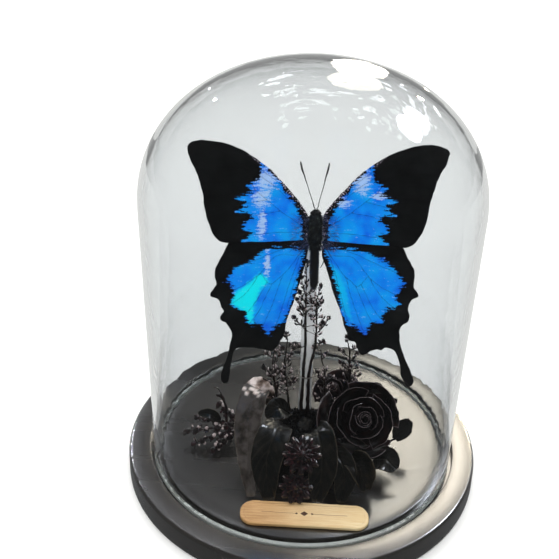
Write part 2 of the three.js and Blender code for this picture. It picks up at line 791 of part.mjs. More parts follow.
function makeRose(rose) {
  nestle(`${rose.name}_heart`, rose.name, blackPetal, (grow) => makeRoseHeart(rose, grow));
  for (let index = 0; index < rose.petals; index++) {
    const name = `${rose.name}_petal_${String(index + 1).padStart(2, '0')}`;
    const surface = petalSurface(rose, index);
    nestle(name, rose.name, blackPetal, (grow) => (
      solidOf(sheet(surface, 4, 3, PETAL_THICKNESS + 2 * grow))));
  }
  nestle(`${rose.name}_calyx`, rose.name, darkLeaf, (grow) => makeCalyx(rose, grow));
}

// Seed heads: rings of pleats round a low dome.
const SEED_HEADS = [
  {
    name: 'seed_head_upper',
    centre: [0.7, -35.5, 29],
    axis: [0, -0.62, 0.78],
    radius: 8.6,
    pleats: 12,
    foot: [0.5, -32],
  },
  {
    name: 'seed_head_lower',
    centre: [-1.2, -42.8, 17.4],
    axis: [0, -0.62, 0.78],
    radius: 7.4,
    pleats: 10,
    foot: [-1, -38],
  },
];

// Each ring of a head's profile is a share of its radius, a height and how deep the pleats cut.
const SEED_HEAD_PROFILE = [
  [0.3, -0.34, 0], [0.66, -0.16, 0.1], [1, 0.16, 0.3], [0.8, 0.26, 0.24], [0.56, 0.2, 0.2],
  [0.4, 0.38, 0.15], [0.16, 0.42, 0],
];
const SEED_STALK_RADIUS = 0.8;

function makeSeedHead(head, grow) {
  const at = frameOf(head);
  const rings = SEED_HEAD_PROFILE.map(([share, height, cut]) => ringOf(2 * head.pleats, (turn, side) => {
    const radius = head.radius * share * (side % 2 ? 1 - cut : 1) + grow;
    return at(radius, turn, head.radius * height + grow * Math.sign(height));
  }));
  const [x, y] = head.foot;
  const root = at(0, 0, -head.radius * 0.2);
  const bend = new THREE.Vector3(x, y, PLATEAU_REST).lerp(root, 0.5);
  const stalk = stem([[x, y, STEM_START], bend, root], Array(3).fill(SEED_STALK_RADIUS + grow), 4);
  return fuse([loft(rings), stalk]);
}

// The berry spray: a low fan of branches with berries along each.
const BERRY_ROOT = [[-13, -3, BASE_HEIGHT], [-20, -4, 15.5], [-27, -4.6, 18.5]];
const BERRY_TIPS = [
  [-54, -9, 17], [-50, -14, 14], [-40, -17, 13.6], [-50, -2.4, 20.5], [-40, 2.5, 24.5], [-29, 1.6, 27],
];
const BERRY_RADIUS = 1.9;
const BERRIES_ON_BRANCH = 4;
const BRANCH_RADIUS = 0.5;
const BERRY_HALF_STEP = 0.28 / BERRIES_ON_BRANCH;  // half the room of one berry, as a share of the branch

function makeBerrySpray(grow) {
  const radius = BRANCH_RADIUS + grow;
  const parts = [stem(BERRY_ROOT, [radius * 1.5, radius * 1.3, radius * 1.2])];
  const fork = vec(BERRY_ROOT.at(-1));
  BERRY_TIPS.forEach((place, branch) => {
    const tip = vec(place);
    const path = [fork];
    const radii = [radius];
    for (let index = 0; index < BERRIES_ON_BRANCH; index++) {
      const share = 0.3 + (0.7 * index) / (BERRIES_ON_BRANCH - 1);
      const size = BERRY_RADIUS * (0.8 + 0.3 * scatter(branch * 7 + index)) + grow;
      path.push(fork.clone().lerp(tip, share - BERRY_HALF_STEP), fork.clone().lerp(tip, share));
      radii.push(0.6 * radius, size);
    }
    path.push(fork.clone().lerp(tip, 1 + BERRY_HALF_STEP));
    radii.push(0.6 * radius);
    parts.push(stem(path, radii, 4));
  });
  return fuse(parts);
}

// The mound: a low clump of dark dried moss that the stems stand in.
const MOUND_CENTRE = [1.5, -13];
const MOUND_HALF_WIDTH = 17;
const MOUND_HALF_DEPTH = 24;
const MOUND_HEIGHT = 17;
const MOUND_SIDES = 14;
const MOUND_LUMPS = 0.16;
const MOUND_LEVELS = [[0.8, -0.1], [1, 0], [0.98, 0.25], [0.82, 0.62], [0.5, 0.9], [0.18, 1]];

function makeMound(grow) {
  const rings = MOUND_LEVELS.map(([share, height], level) => ringOf(MOUND_SIDES, (turn, side) => {
    const lump = 1 + MOUND_LUMPS * (scatter(level * MOUND_SIDES + side) - 0.5);
    return new THREE.Vector3(
      MOUND_CENTRE[0] + (MOUND_HALF_WIDTH * lump + grow) * share * Math.cos(turn),
      MOUND_CENTRE[1] + (MOUND_HALF_DEPTH * lump + grow) * share * Math.sin(turn),
      PLATEAU_REST + (MOUND_HEIGHT + grow) * height,
    );
  }));
  return solidOf(loft(rings));
}

const CURLED_STEM = [[-33, -6.5, 12], [-35.4, -4.4, 20], [-36, -2.6, 27], [-38, -1, 32.4], [-41, -1, 33]];

function makeCurledStem(grow) {
  const curve = new THREE.CatmullRomCurve3(CURLED_STEM.map(vec), false, 'catmullrom', 0.5);
  const points = curve.getPoints(6);
  points[0].z = STEM_START;
  const radii = points.map((_, index) => 0.5 + 0.08 * index + grow);
  return solidOf(stem(points, radii));
}

function keepClear(family, geometry) {
  placed.push({ family, room: solidOf(geometry) });
}

// The rod, the plateau and the label keep their own room before any plant is placed.
function reserveRoom() {
  const rod = new THREE.CylinderGeometry(ROD_RADIUS + GAP, ROD_RADIUS + GAP, 2 * ROD_TOP, 16);
  rod.rotateX(Math.PI / 2);
  rod.translate(...ROD_CENTRE, 0);
  keepClear('rod', rod);
  const plateau = new THREE.CylinderGeometry(PLATEAU_RADIUS, PLATEAU_RADIUS, PLATEAU_REST, 24);
  plateau.rotateX(Math.PI / 2);
  plateau.translate(0, 0, PLATEAU_REST / 2);
  keepClear('base', plateau);
  const roomy = [PLAQUE_LENGTH, PLAQUE_WIDTH, PLAQUE_THICKNESS].map((size) => size + 2 * GAP);
  const label = new THREE.BoxGeometry(...roomy);
  label.translate(...PLAQUE_CENTRE, PLATEAU_REST + PLAQUE_THICKNESS / 2);
  keepClear('label', label);
}

function makePlants() {
  reserveRoom();
  ROSES.forEach(makeRose);
  nestle('moss_mound', 'mound', driedMoss, makeMound);
  for (const spray of SPRAYS) {
    nestle(spray.name, spray.name, driedStem, (grow) => makeSpray(spray, grow));
  }
  for (const head of SEED_HEADS) {
    nestle(head.name, head.name, driedBud, (grow) => makeSeedHead(head, grow));
  }
  nestle('berry_spray', 'berry', driedBud, makeBerrySpray);
  nestle('curled_stem', 'curl', driedStem, makeCurledStem);
  for (const leaf of LEAVES) {
    nestle(leaf.name, leaf.name, darkLeaf, (grow) => makeLeaf(leaf, grow));
  }
}

makeBase();
makeDome();
makePlaque();
makeRod();
makeTie();
makeBody();
makeAntennae();
makeWing('forewing_left', -1, FOREWING_OUTLINE, 0);
makeWing('forewing_right', 1, FOREWING_OUTLINE, 0);
makeWing('hindwing_left', -1, HINDWING_LEFT_OUTLINE, -HINDWING_DROP);
makeWing('hindwing_right', 1, HINDWING_RIGHT_OUTLINE, -HINDWING_DROP);
makePlants();

export default specimen;
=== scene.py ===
# A blue swallowtail under a glass dome, above preserved black flowers on a turned base.
# Shapes are worked out in millimetres; make_piece() turns them into metres.
# +Z is up, the front with the wooden label looks along -Y.

import math

import bpy
import numpy as np
from mathutils import Matrix, Vector
from mathutils.geometry import delaunay_2d_cdt


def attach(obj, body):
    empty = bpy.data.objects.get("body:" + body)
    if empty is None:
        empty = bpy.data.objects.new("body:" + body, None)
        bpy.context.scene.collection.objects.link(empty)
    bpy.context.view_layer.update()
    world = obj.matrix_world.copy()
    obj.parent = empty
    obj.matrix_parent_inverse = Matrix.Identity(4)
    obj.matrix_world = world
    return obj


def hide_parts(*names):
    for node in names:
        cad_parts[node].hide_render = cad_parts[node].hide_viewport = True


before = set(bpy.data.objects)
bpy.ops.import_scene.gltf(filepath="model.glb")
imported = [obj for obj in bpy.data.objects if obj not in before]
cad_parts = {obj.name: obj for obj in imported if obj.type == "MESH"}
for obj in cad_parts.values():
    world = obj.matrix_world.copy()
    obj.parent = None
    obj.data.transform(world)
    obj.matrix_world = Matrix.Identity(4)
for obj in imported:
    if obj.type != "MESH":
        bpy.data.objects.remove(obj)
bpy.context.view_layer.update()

MM = 0.001
TAU = 2 * math.pi
GOLDEN_ANGLE = math.radians(137.5)

# ---- driving dimensions, as in the part ----

BASE_HEIGHT = 11.0
BASE_TOP_RADIUS = 80.3
BASE_FOOT_RADIUS = 81.8
BASE_ROUNDING = 1.1
PLATEAU_RADIUS = 65.4
GROOVE_OUTER_RADIUS = 71.5
GROOVE_DEPTH = 3.5
REST = 0.3                      # pieces stand this far off what carries them
PLATEAU_REST = BASE_HEIGHT + REST

GLASS_RADIUS = 70.0
GLASS_SHOULDER_RADIUS = 70.7
GLASS_WALL = 2.4
GLASS_STRAIGHT_HEIGHT = 122.8
GLASS_CAP_HEIGHT = 56.5
GLASS_CAP_POWER = 2.11

PLAQUE_LENGTH = 54.0
PLAQUE_WIDTH = 13.4
PLAQUE_THICKNESS = 1.6
PLAQUE_CORNER = 5.8
PLAQUE_CENTRE = (2.8, -53.4)

ROD_RADIUS = 3.0
ROD_CENTRE = (1.0, 3.2)
ROD_TOP = 122.4
TIE_HEIGHT = 46.4
TIE_CENTRE_Y = 1.85
TIE_HALF_WIDTH = 3.8
TIE_HALF_DEPTH = 4.95

THORAX_CENTRE = np.array([2.0, -3.0, 122.4])
BODY_LEAN = math.radians(22)
BODY_ROLL = math.radians(1)
WING_RISE = math.radians(6)
WING_CAMBER = 1.5
WING_CAMBER_SPAN = 56.0
HINDWING_DROP = 0.95
TAIL_SWEEP_START = -30.0
TAIL_SWEEP = 0.004

PETAL_THICKNESS = 0.5
LEAF_THICKNESS = 0.7


# ---- materials ----
# Object coordinates are in metres, so a noise of per_metre(5) has lumps about 5 mm across.

FIRST_COLOUR, SECOND_COLOUR, MIXED_COLOUR = 6, 7, 2     # the colour sockets of a Mix node


def linear(code):
    """Linear colour of an sRGB hex code."""
    shares = [int(code[place:place + 2], 16) / 255 for place in (1, 3, 5)]
    return [s / 12.92 if s <= 0.04045 else ((s + 0.055) / 1.055) ** 2.4 for s in shares] + [1.0]


def per_metre(size):
    """How many lumps of a size in millimetres fit in a metre."""
    return 1000 / size


def link(tree, source, socket):
    """Links a node's output, its first one where the whole node is given, to a socket."""
    tree.links.new(source if isinstance(source, bpy.types.NodeSocket) else source.outputs[0], socket)


def add(tree, kind, settings=None, inputs=None, links=None):
    """Adds one shader node with its settings, a ramp's stops, its values and its links."""
    node = tree.nodes.new("ShaderNode" + kind)
    for name, value in (settings or {}).items():
        if name == "stops":
            while len(node.color_ramp.elements) < len(value):
                node.color_ramp.elements.new(0.5)
            for element, (place, code) in zip(node.color_ramp.elements, value):
                element.position, element.color = place, linear(code)
        else:
            setattr(node, name, value)
    for name, value in (inputs or {}).items():
        node.inputs[name].default_value = value
    for name, source in (links or {}).items():
        link(tree, source, node.inputs[name])
    return node


def start_material(name, **values):
    """A new material, its node tree and its main shader with plain values set."""
    material = bpy.data.materials.new(name)
    material.use_nodes = True
    shader = material.node_tree.nodes["Principled BSDF"]
    for key, value in values.items():
        shader.inputs[key.replace("_", " ")].default_value = value
    return material, material.node_tree, shader


def join(tree, shader, **links):
    """Links nodes to the main shader's sockets."""
    for key, source in links.items():
        link(tree, source, shader.inputs[key.replace("_", " ")])


def finish(tree, shader, colour, gloss=None, relief=None):
    """Links a material's colour, gloss and relief to the main shader.

    gloss is a pattern with the roughness at its dark and its light spots; relief is a pattern
    with its strength and its depth in millimetres.
    """
    join(tree, shader, Base_Color=colour)
    if gloss:
        pattern, dark, light = gloss
        rough = add(tree, "MapRange", links={"Value": pattern},
                    inputs={"From Min": 0.3, "From Max": 0.7, "To Min": dark, "To Max": light})
        join(tree, shader, Roughness=rough)
    if relief:
        pattern, strength, depth = relief
        bump = add(tree, "Bump", inputs={"Strength": strength, "Distance": depth * MM},
                   links={"Height": pattern})
        join(tree, shader, Normal=bump)


def make_mottled(name, size, detail, stops, gloss=None, relief=None, squeeze=None, **values):
    """A material of one cloudy pattern, its lumps as big as size in millimetres.

    gloss is the roughness at the pattern's dark and its light spots, relief its strength and
    its depth in millimetres, and squeeze draws the lumps out where it is below 1.
    """
    material, tree, shader = start_material(name, **values)
    place = add(tree, "TexCoord").outputs["Object"]
    if squeeze:
        place = add(tree, "Mapping", inputs={"Scale": squeeze}, links={"Vector": place})
    pattern = add(tree, "TexNoise", inputs={"Scale": per_metre(size), "Detail": detail},
                  links={"Vector": place})
    colour = add(tree, "ValToRGB", {"stops": stops}, links={"Fac": pattern})
    finish(tree, shader, colour, gloss=gloss and (pattern, *gloss), relief=relief and (pattern, *relief))
    return material


def make_lacquered_wood():
    """Turned beech, stained black under satin lacquer: dark, with a broad soft shine."""
    material, tree, shader = start_material("satin_lacquered_black_beech", Coat_Weight=1.0,
                                            Coat_Roughness=0.2, Coat_IOR=1.75, IOR=1.6)
    place = add(tree, "TexCoord").outputs["Object"]
    along = add(tree, "Mapping", inputs={"Scale": (1 / 14, 1, 1)}, links={"Vector": place})
    # Pores are 0.5 mm wide and 7 mm long.
    pores = add(tree, "TexNoise", inputs={"Scale": per_metre(0.5), "Detail": 4}, links={"Vector": along})
    cloud = add(tree, "TexNoise", inputs={"Scale": per_metre(18), "Detail": 3}, links={"Vector": along})
    mixed = add(tree, "Math", {"operation": "MULTIPLY_ADD"}, {1: 0.5},
                {0: pores, 2: add(tree, "Math", {"operation": "MULTIPLY"}, {1: 0.5}, {0: cloud})})
    stain = add(tree, "ValToRGB", {"stops": [(0.3, "#0f0d0c"), (0.7, "#221e1a")]}, links={"Fac": mixed})
    finish(tree, shader, stain, gloss=(cloud, 0.24, 0.32), relief=(pores, 0.5, 0.05))
    return material


def make_clear(name, colour, ior, clarity, roughness, wave_size, wave_depth):
    """A clear solid with a faint wave in it, sizes in millimetres.

    Light on its way to a shadow or a mirror image goes straight through it.
    """
    material, tree, shader = start_material(name, Transmission_Weight=clarity, Roughness=roughness, IOR=ior)
    shader.inputs["Base Color"].default_value = linear(colour)
    place = add(tree, "TexCoord").outputs["Object"]
    wave = add(tree, "TexNoise", inputs={"Scale": per_metre(wave_size), "Detail": 2}, links={"Vector": place})
    relief = add(tree, "Bump", inputs={"Strength": 0.5, "Distance": wave_depth * MM}, links={"Height": wave})
    join(tree, shader, Normal=relief)
    ray = add(tree, "LightPath").outputs
    gap = add(tree, "BsdfTransparent", inputs={"Color": linear("#fafafa")})
    both = add(tree, "MixShader", links={0: ray["Is Reflection Ray"], 1: shader, 2: gap})
    both = add(tree, "MixShader", links={0: ray["Is Shadow Ray"], 1: both, 2: gap})
    link(tree, both, tree.nodes["Material Output"].inputs["Surface"])
    return material


def make_ground_glass():
    """The foot of the glass, ground matt with fine grit: frosted, a pale line all round."""
    return make_mottled("ground_glass", 0.3, 3, [(0.35, "#9fa5a2"), (0.65, "#d6dbd8")],
                        gloss=(0.35, 0.6), relief=(0.5, 0.03), IOR=1.5, Transmission_Weight=0.3)


def make_birch():
    """Sanded birch veneer: pale and warm, fine straight grain, no varnish."""
    material, tree, shader = start_material("sanded_birch", Roughness=0.6)
    place = add(tree, "TexCoord").outputs["Object"]
    along = add(tree, "Mapping", inputs={"Scale": (1 / 22, 1, 1)}, links={"Vector": place})
    # Grain lines are 0.45 mm wide and 10 mm long; the cloud under them is 16 mm.
    grain = add(tree, "TexNoise", inputs={"Scale": per_metre(0.45), "Detail": 5, "Distortion": 0.4},
                links={"Vector": along})
    cloud = add(tree, "TexNoise", inputs={"Scale": per_metre(16), "Detail": 2}, links={"Vector": place})
    mixed = add(tree, "Math", {"operation": "MULTIPLY_ADD"}, {1: 0.55},
                {0: grain, 2: add(tree, "Math", {"operation": "MULTIPLY"}, {1: 0.45}, {0: cloud})})
    wood = add(tree, "ValToRGB", {"stops": [(0.3, "#ab7f4c"), (0.5, "#d0a26c"), (0.7, "#e6bb82")]},
               links={"Fac": mixed})
    # The label is painted paler towards its right end, a painted gradient of the light that falls on it from
    # that side.
    sapwood = add(tree, "Attribute", {"attribute_name": "sapwood"}).outputs["Fac"]
    pale = add(tree, "ValToRGB", {"stops": [(0.3, "#f3cd90"), (0.7, "#fff0c4")]}, links={"Fac": mixed})
    wood = add(tree, "Mix", {"data_type": "RGBA"},
               links={"Factor": sapwood, FIRST_COLOUR: wood, SECOND_COLOUR: pale}).outputs[MIXED_COLOUR]
    mark = add(tree, "Attribute", {"attribute_name": "ornament"}).outputs["Fac"]
    burnt = add(tree, "MapRange", {"interpolation_type": "SMOOTHSTEP"},
                {"From Min": -0.04, "From Max": 0.14}, {"Value": mark})
    marked = add(tree, "Mix", {"data_type": "RGBA"}, {SECOND_COLOUR: linear("#4a2c18")},
                 {"Factor": burnt, FIRST_COLOUR: wood}).outputs[MIXED_COLOUR]
    # A slim dried floret that leaves its twig sideways and bends upwards to a pale tip, partly its own dried
    # end and partly a painted highlight.
    finish(tree, shader, marked, relief=(grain, 0.6, 0.03))
    return material


def make_wire():
    """Annealed steel wire: grey, a little dull, with small scuffs."""
    return make_mottled("annealed_steel_wire", 0.6, 3, [(0.3, "#6d6b67"), (0.7, "#a9a59d")],
                        gloss=(0.28, 0.42), Metallic=1.0)


def make_cuticle():
    """Insect shell: nearly black and finely pitted, a dull waxy shine."""
    return make_mottled("black_cuticle", 0.35, 3, [(0.3, "#040403"), (0.7, "#11100c")],
                        gloss=(0.3, 0.5), relief=(1.0, 0.06), IOR=1.56)


def make_hair():
    """Fine insect hair: black on the body, dusted grey-blue where the wings begin."""
    material, tree, shader = start_material("insect_hair", Roughness=0.55, Sheen_Weight=0.05)
    place = add(tree, "TexCoord").outputs["Object"]
    cloud = add(tree, "TexNoise", inputs={"Scale": per_metre(1.5), "Detail": 3}, links={"Vector": place})
    dark = add(tree, "ValToRGB", {"stops": [(0.35, "#040504"), (0.6, "#141b13"), (0.72, "#4c5648")]},
               links={"Fac": cloud})
    pale = add(tree, "ValToRGB", {"stops": [(0.35, "#101838"), (0.55, "#3a4a78"), (0.68, "#9a92b6")]},
               links={"Fac": cloud})
    dust = add(tree, "Attribute", {"attribute_name": "dust"}).outputs["Fac"]
    coat = add(tree, "Mix", {"data_type": "RGBA"},
               links={"Factor": dust, FIRST_COLOUR: dark, SECOND_COLOUR: pale})
    join(tree, shader, Base_Color=coat.outputs[MIXED_COLOUR])
    return material


def make_wing_scales():
    """Butterfly scales: velvet black borders and a bright structural blue, with a pale painted reflection and
    a painted cyan highlight over it.
    """
    material, tree, shader = start_material("wing_scales", IOR=1.5, Specular_IOR_Level=0.2)
    span = add(tree, "Attribute", {"attribute_name": "span"}).outputs["Fac"]
    along = add(tree, "Attribute", {"attribute_name": "along"}).outputs["Fac"]
    place = add(tree, "CombineXYZ", links={"X": span, "Y": along})
    # These places are in millimetres. Rows of scales run outwards: 0.9 mm wide here, coarser
    # than the real 0.2 mm so that they show, and 5 mm long.
    outwards = add(tree, "Mapping", inputs={"Scale": (0.22, 1.1, 1)}, links={"Vector": place})
    streak = add(tree, "TexNoise", inputs={"Scale": 1.0, "Detail": 3}, links={"Vector": outwards})
    grit = add(tree, "TexNoise", inputs={"Scale": 1.5, "Detail": 2}, links={"Vector": place})
    cloud = add(tree, "TexNoise", inputs={"Scale": 0.11, "Detail": 2}, links={"Vector": place})
    patch = add(tree, "Attribute", {"attribute_name": "patch"}).outputs["Fac"]
    ragged = add(tree, "Math", {"operation": "MULTIPLY_ADD"}, {1: 6.5}, {0: streak, 2: patch})
    ragged = add(tree, "Math", {"operation": "MULTIPLY_ADD"}, {1: 2.5}, {0: grit, 2: ragged})
    blue_share = add(tree, "MapRange", {"interpolation_type": "SMOOTHSTEP"},
                     {"From Min": 4.1, "From Max": 4.8}, {"Value": ragged})
    vein = add(tree, "Attribute", {"attribute_name": "vein"}).outputs["Fac"]
    beside_vein = add(tree, "MapRange", {"interpolation_type": "SMOOTHSTEP"},
                      {"From Min": 0.05, "From Max": 0.3, "To Min": 0.45}, {"Value": vein})
    blue_share = add(tree, "Math", {"operation": "MULTIPLY"}, links={0: blue_share, 1: beside_vein})
    deep = add(tree, "ValToRGB", {"stops": [(0.3, "#0062ee"), (0.5, "#0090ff"), (0.7, "#06a8ff")]},
               links={"Fac": cloud})
    # A painted cyan highlight where light catches the blue, strongest on the left hindwing.
    glint = add(tree, "Attribute", {"attribute_name": "glint"}).outputs["Fac"]
    bright = add(tree, "Mix", {"data_type": "RGBA"}, {SECOND_COLOUR: linear("#08f2ff")},
                 {"Factor": glint, FIRST_COLOUR: deep}).outputs[MIXED_COLOUR]
    # A pale painted reflection of light over the blue, broken up by the rows of scales.
    sheen = add(tree, "Attribute", {"attribute_name": "sheen"}).outputs["Fac"]
    broken = add(tree, "Math", {"operation": "MULTIPLY_ADD"}, {1: 2.2}, {0: streak, 2: sheen})
    broken = add(tree, "Math", {"operation": "MULTIPLY_ADD"}, {1: 1.2}, {0: grit, 2: broken})
    sheen_share = add(tree, "MapRange", {"interpolation_type": "SMOOTHSTEP"},
                 {"From Min": 2.0, "From Max": 2.6, "To Max": 0.9}, {"Value": broken})
    bright = add(tree, "Mix", {"data_type": "RGBA"}, {SECOND_COLOUR: linear("#b4d4ff")},
                 {"Factor": sheen_share, FIRST_COLOUR: bright}).outputs[MIXED_COLOUR]
    velvet = add(tree, "ValToRGB", {"stops": [(0.3, "#060708"), (0.7, "#101213")]}, links={"Fac": cloud})
    dust = add(tree, "Attribute", {"attribute_name": "dust"}).outputs["Fac"]
    dusty = add(tree, "Math", {"operation": "MULTIPLY_ADD"}, {1: 0.3}, {0: dust, 2: grit})
    speck = add(tree, "MapRange", {"interpolation_type": "SMOOTHSTEP"},
                {"From Min": 0.84, "From Max": 0.92}, {"Value": dusty})
    velvet = add(tree, "Mix", {"data_type": "RGBA"}, {SECOND_COLOUR: linear("#c8bccb")},
                 {"Factor": speck, FIRST_COLOUR: velvet}).outputs[MIXED_COLOUR]
    scales = add(tree, "Mix", {"data_type": "RGBA"},
                 links={"Factor": blue_share, FIRST_COLOUR: velvet, SECOND_COLOUR: bright})
    gloss = add(tree, "MapRange", inputs={"To Min": 0.62, "To Max": 0.4}, links={"Value": blue_share})
    relief = add(tree, "Bump", inputs={"Strength": 0.4, "Distance": 0.05 * MM}, links={"Height": streak})
    join(tree, shader, Base_Color=scales.outputs[MIXED_COLOUR], Roughness=gloss, Normal=relief)
    return material


def make_petal():
    """Preserved rose petal, dyed black: waxy and glossy, wine-dark, with a painted highlight along its rim.
    """
    material, tree, shader = start_material("preserved_black_petal", IOR=1.46, Coat_Weight=0.7,
                                            Coat_Roughness=0.1, Specular_IOR_Level=0.2)
    place = add(tree, "TexCoord").outputs["Object"]
    cloud = add(tree, "TexNoise", inputs={"Scale": per_metre(6), "Detail": 3}, links={"Vector": place})
    across = add(tree, "Attribute", {"attribute_name": "across"}).outputs["Fac"]
    along = add(tree, "Attribute", {"attribute_name": "along"}).outputs["Fac"]
    # Fine ribs run from the petal's foot to its rim, about 25 across half a petal.
    ribbed = add(tree, "CombineXYZ", links={"X": across, "Y": along})
    ribbed = add(tree, "Mapping", inputs={"Scale": (25, 3, 1)}, links={"Vector": ribbed})
    ribs = add(tree, "TexNoise", inputs={"Scale": 1.0, "Detail": 3}, links={"Vector": ribbed})
    dye = add(tree, "ValToRGB", {"stops": [(0.35, "#030203"), (0.5, "#0a0506"), (0.65, "#1f0d0a")]},
              links={"Fac": cloud})
    rim = add(tree, "Attribute", {"attribute_name": "rim"}).outputs["Fac"]
    # A painted highlight: the petal's edge is painted pale, as where light catches it, and mixed into the dye
    # below.
    pale_rim = add(tree, "MapRange", {"interpolation_type": "SMOOTHSTEP"},
              {"From Min": 0.01, "From Max": 0.04, "To Min": 0.6, "To Max": 0.0}, {"Value": rim})
    dyed = add(tree, "Mix", {"data_type": "RGBA"}, {SECOND_COLOUR: linear("#6f6466")},
               {"Factor": pale_rim, FIRST_COLOUR: dye}).outputs[MIXED_COLOUR]
    finish(tree, shader, dyed, gloss=(cloud, 0.25, 0.4), relief=(ribs, 0.6, 0.12))
    return material


def make_leaf_skin():
    """Preserved leaf, dyed dark green-black: leathery, with paler midrib and side veins."""
    material, tree, shader = start_material("preserved_dark_leaf", IOR=1.45, Coat_Weight=0.4,
                                            Coat_Roughness=0.12, Specular_IOR_Level=0.2)
    place = add(tree, "TexCoord").outputs["Object"]
    cloud = add(tree, "TexNoise", inputs={"Scale": per_metre(5), "Detail": 3}, links={"Vector": place})
    grain = add(tree, "TexNoise", inputs={"Scale": per_metre(1.6), "Detail": 3}, links={"Vector": place})
    dye = add(tree, "ValToRGB", {"stops": [(0.35, "#020302"), (0.5, "#060705"), (0.65, "#110f0b")]},
              links={"Fac": cloud})
    vein = add(tree, "Attribute", {"attribute_name": "vein"}).outputs["Fac"]
    pale = add(tree, "MapRange", {"interpolation_type": "SMOOTHSTEP"},
               {"From Min": 0.0, "From Max": 0.35, "To Min": 0.35, "To Max": 0.0}, {"Value": vein})
    veined = add(tree, "Mix", {"data_type": "RGBA"}, {SECOND_COLOUR: linear("#2f2a22")},
                 {"Factor": pale, FIRST_COLOUR: dye}).outputs[MIXED_COLOUR]
    rim = add(tree, "Attribute", {"attribute_name": "rim"}).outputs["Fac"]
    pale_rim = add(tree, "MapRange", {"interpolation_type": "SMOOTHSTEP"},
              {"From Min": 0.0, "From Max": 0.06, "To Min": 0.5, "To Max": 0.0}, {"Value": rim})
    rimmed = add(tree, "Mix", {"data_type": "RGBA"}, {SECOND_COLOUR: linear("#4b4338")},
                 {"Factor": pale_rim, FIRST_COLOUR: veined}).outputs[MIXED_COLOUR]
    # A painted highlight on one leaf: its crest is painted pale, as where light catches it, with a faint
    # painted pale tone over its blade.
    faded = add(tree, "Attribute", {"attribute_name": "faded"}).outputs["Fac"]
    gleam_colour = add(tree, "ValToRGB", {"stops": [(0.36, "#6b5a50"), (0.46, "#b9a59b"), (0.58, "#f8e9e2")]},
                   links={"Fac": cloud})
    leaf = add(tree, "Mix", {"data_type": "RGBA"},
               links={"Factor": faded, FIRST_COLOUR: rimmed, SECOND_COLOUR: gleam_colour})
    finish(tree, shader, leaf.outputs[MIXED_COLOUR], gloss=(cloud, 0.3, 0.45), relief=(grain, 0.5, 0.1))
    return material


def make_twig():
    """Dried twig: dark brown, a faint waxy shine on ridges 0.5 mm wide and 2.5 mm long."""
    return make_mottled("dried_twig", 0.5, 4, [(0.3, "#080504"), (0.6, "#1a100c"), (0.75, "#41302a")],
                        gloss=(0.4, 0.7), relief=(1.0, 0.08), squeeze=(1, 1, 0.2),
                        Coat_Weight=0.4, Coat_Roughness=0.15, Specular_IOR_Level=0.3)


def make_pod_skin():
    """Dried pods and berries under clear varnish: dark red-black with sharp highlights, and pale marks that
    are partly dried tips and partly painted highlights.
    """
    material, tree, shader = start_material("varnished_dried_pod", Coat_Weight=1.0, Coat_Roughness=0.06,
                                            Specular_IOR_Level=0.3)
    place = add(tree, "TexCoord").outputs["Object"]
    cloud = add(tree, "TexNoise", inputs={"Scale": per_metre(1.6), "Detail": 3}, links={"Vector": place})
    wrinkle = add(tree, "TexNoise", inputs={"Scale": per_metre(0.5), "Detail": 3}, links={"Vector": place})
    skin = add(tree, "ValToRGB", {"stops": [(0.35, "#050203"), (0.55, "#140608"), (0.7, "#35141a")]},
               links={"Fac": cloud})
    # The pale marks are partly the dried tips of florets and partly painted highlights where light catches
    # tips, rib ends and small berries.
    tip = add(tree, "Attribute", {"attribute_name": "tip"}).outputs["Fac"]
    tips_and_glints = add(tree, "Mix", {"data_type": "RGBA"}, {SECOND_COLOUR: linear("#d6c4c2")},
                 {"Factor": tip, FIRST_COLOUR: skin}).outputs[MIXED_COLOUR]
    finish(tree, shader, tips_and_glints, gloss=(cloud, 0.25, 0.4), relief=(wrinkle, 1.0, 0.08))
    return material


def make_moss():
    """Dyed sphagnum: a matt, nearly black tangle."""
    return make_mottled("dyed_moss", 1.4, 4, [(0.3, "#020202"), (0.6, "#070504"), (0.8, "#110d09")],
                        relief=(1.0, 0.3), Roughness=0.85)


def make_floor_paint():
    """Matt studio paint, rolled on: white, with hardly any cloud in it."""
    return make_mottled("matt_white_paint", 120, 2, [(0.3, "#f6f6f4"), (0.7, "#f9f9f7")], Roughness=0.9)


lacquered_wood = make_lacquered_wood()
ground_glass = make_ground_glass()
# Hand-blown, so its wall is slightly wavy. Glass has an IOR of 1.5, which in a wall as even as
# this one darkens the rim and veils what stands behind it, so it is drawn with a low one.
blown_glass = make_clear("blown_glass", "#dddfe0", ior=1.22, clarity=1.0, roughness=0.0,
                         wave_size=11, wave_depth=0.28)
# The rod is sawn from cast stock and scuffed, so a share of it looks milky.
cast_acrylic = make_clear("cast_acrylic", "#fbfcfc", ior=1.49, clarity=0.5, roughness=0.1,
                          wave_size=30, wave_depth=0.02)
birch = make_birch()
steel_wire = make_wire()
cuticle = make_cuticle()
hair = make_hair()
wing_scales = make_wing_scales()
petal_skin = make_petal()
leaf_skin = make_leaf_skin()
twig_bark = make_twig()
pod_skin = make_pod_skin()
moss = make_moss()
floor_paint = make_floor_paint()


# ---- making meshes ----

class Skin:
    """Gathers the points, faces and per-point values of one piece."""

    def __init__(self):
        self.points = []
        self.faces = []
        self.parts = []
        self.count = 0

    def add(self, points, faces, **values):
        """Adds points with their faces; a value is one number for all of them or one for each."""
        for face in faces:
            self.faces.append([self.count + int(corner) for corner in face])
        self.points.append(np.asarray(points, float))
        self.parts.append((len(points), values))
        self.count += len(points)
        return self

    def values(self):
        """Each named value for every point, 0 where a part doesn't give it."""
        names = sorted({name for _, values in self.parts for name in values})
        return {name: np.concatenate([np.broadcast_to(values.get(name, 0.0), size)
                                      for size, values in self.parts]) for name in names}


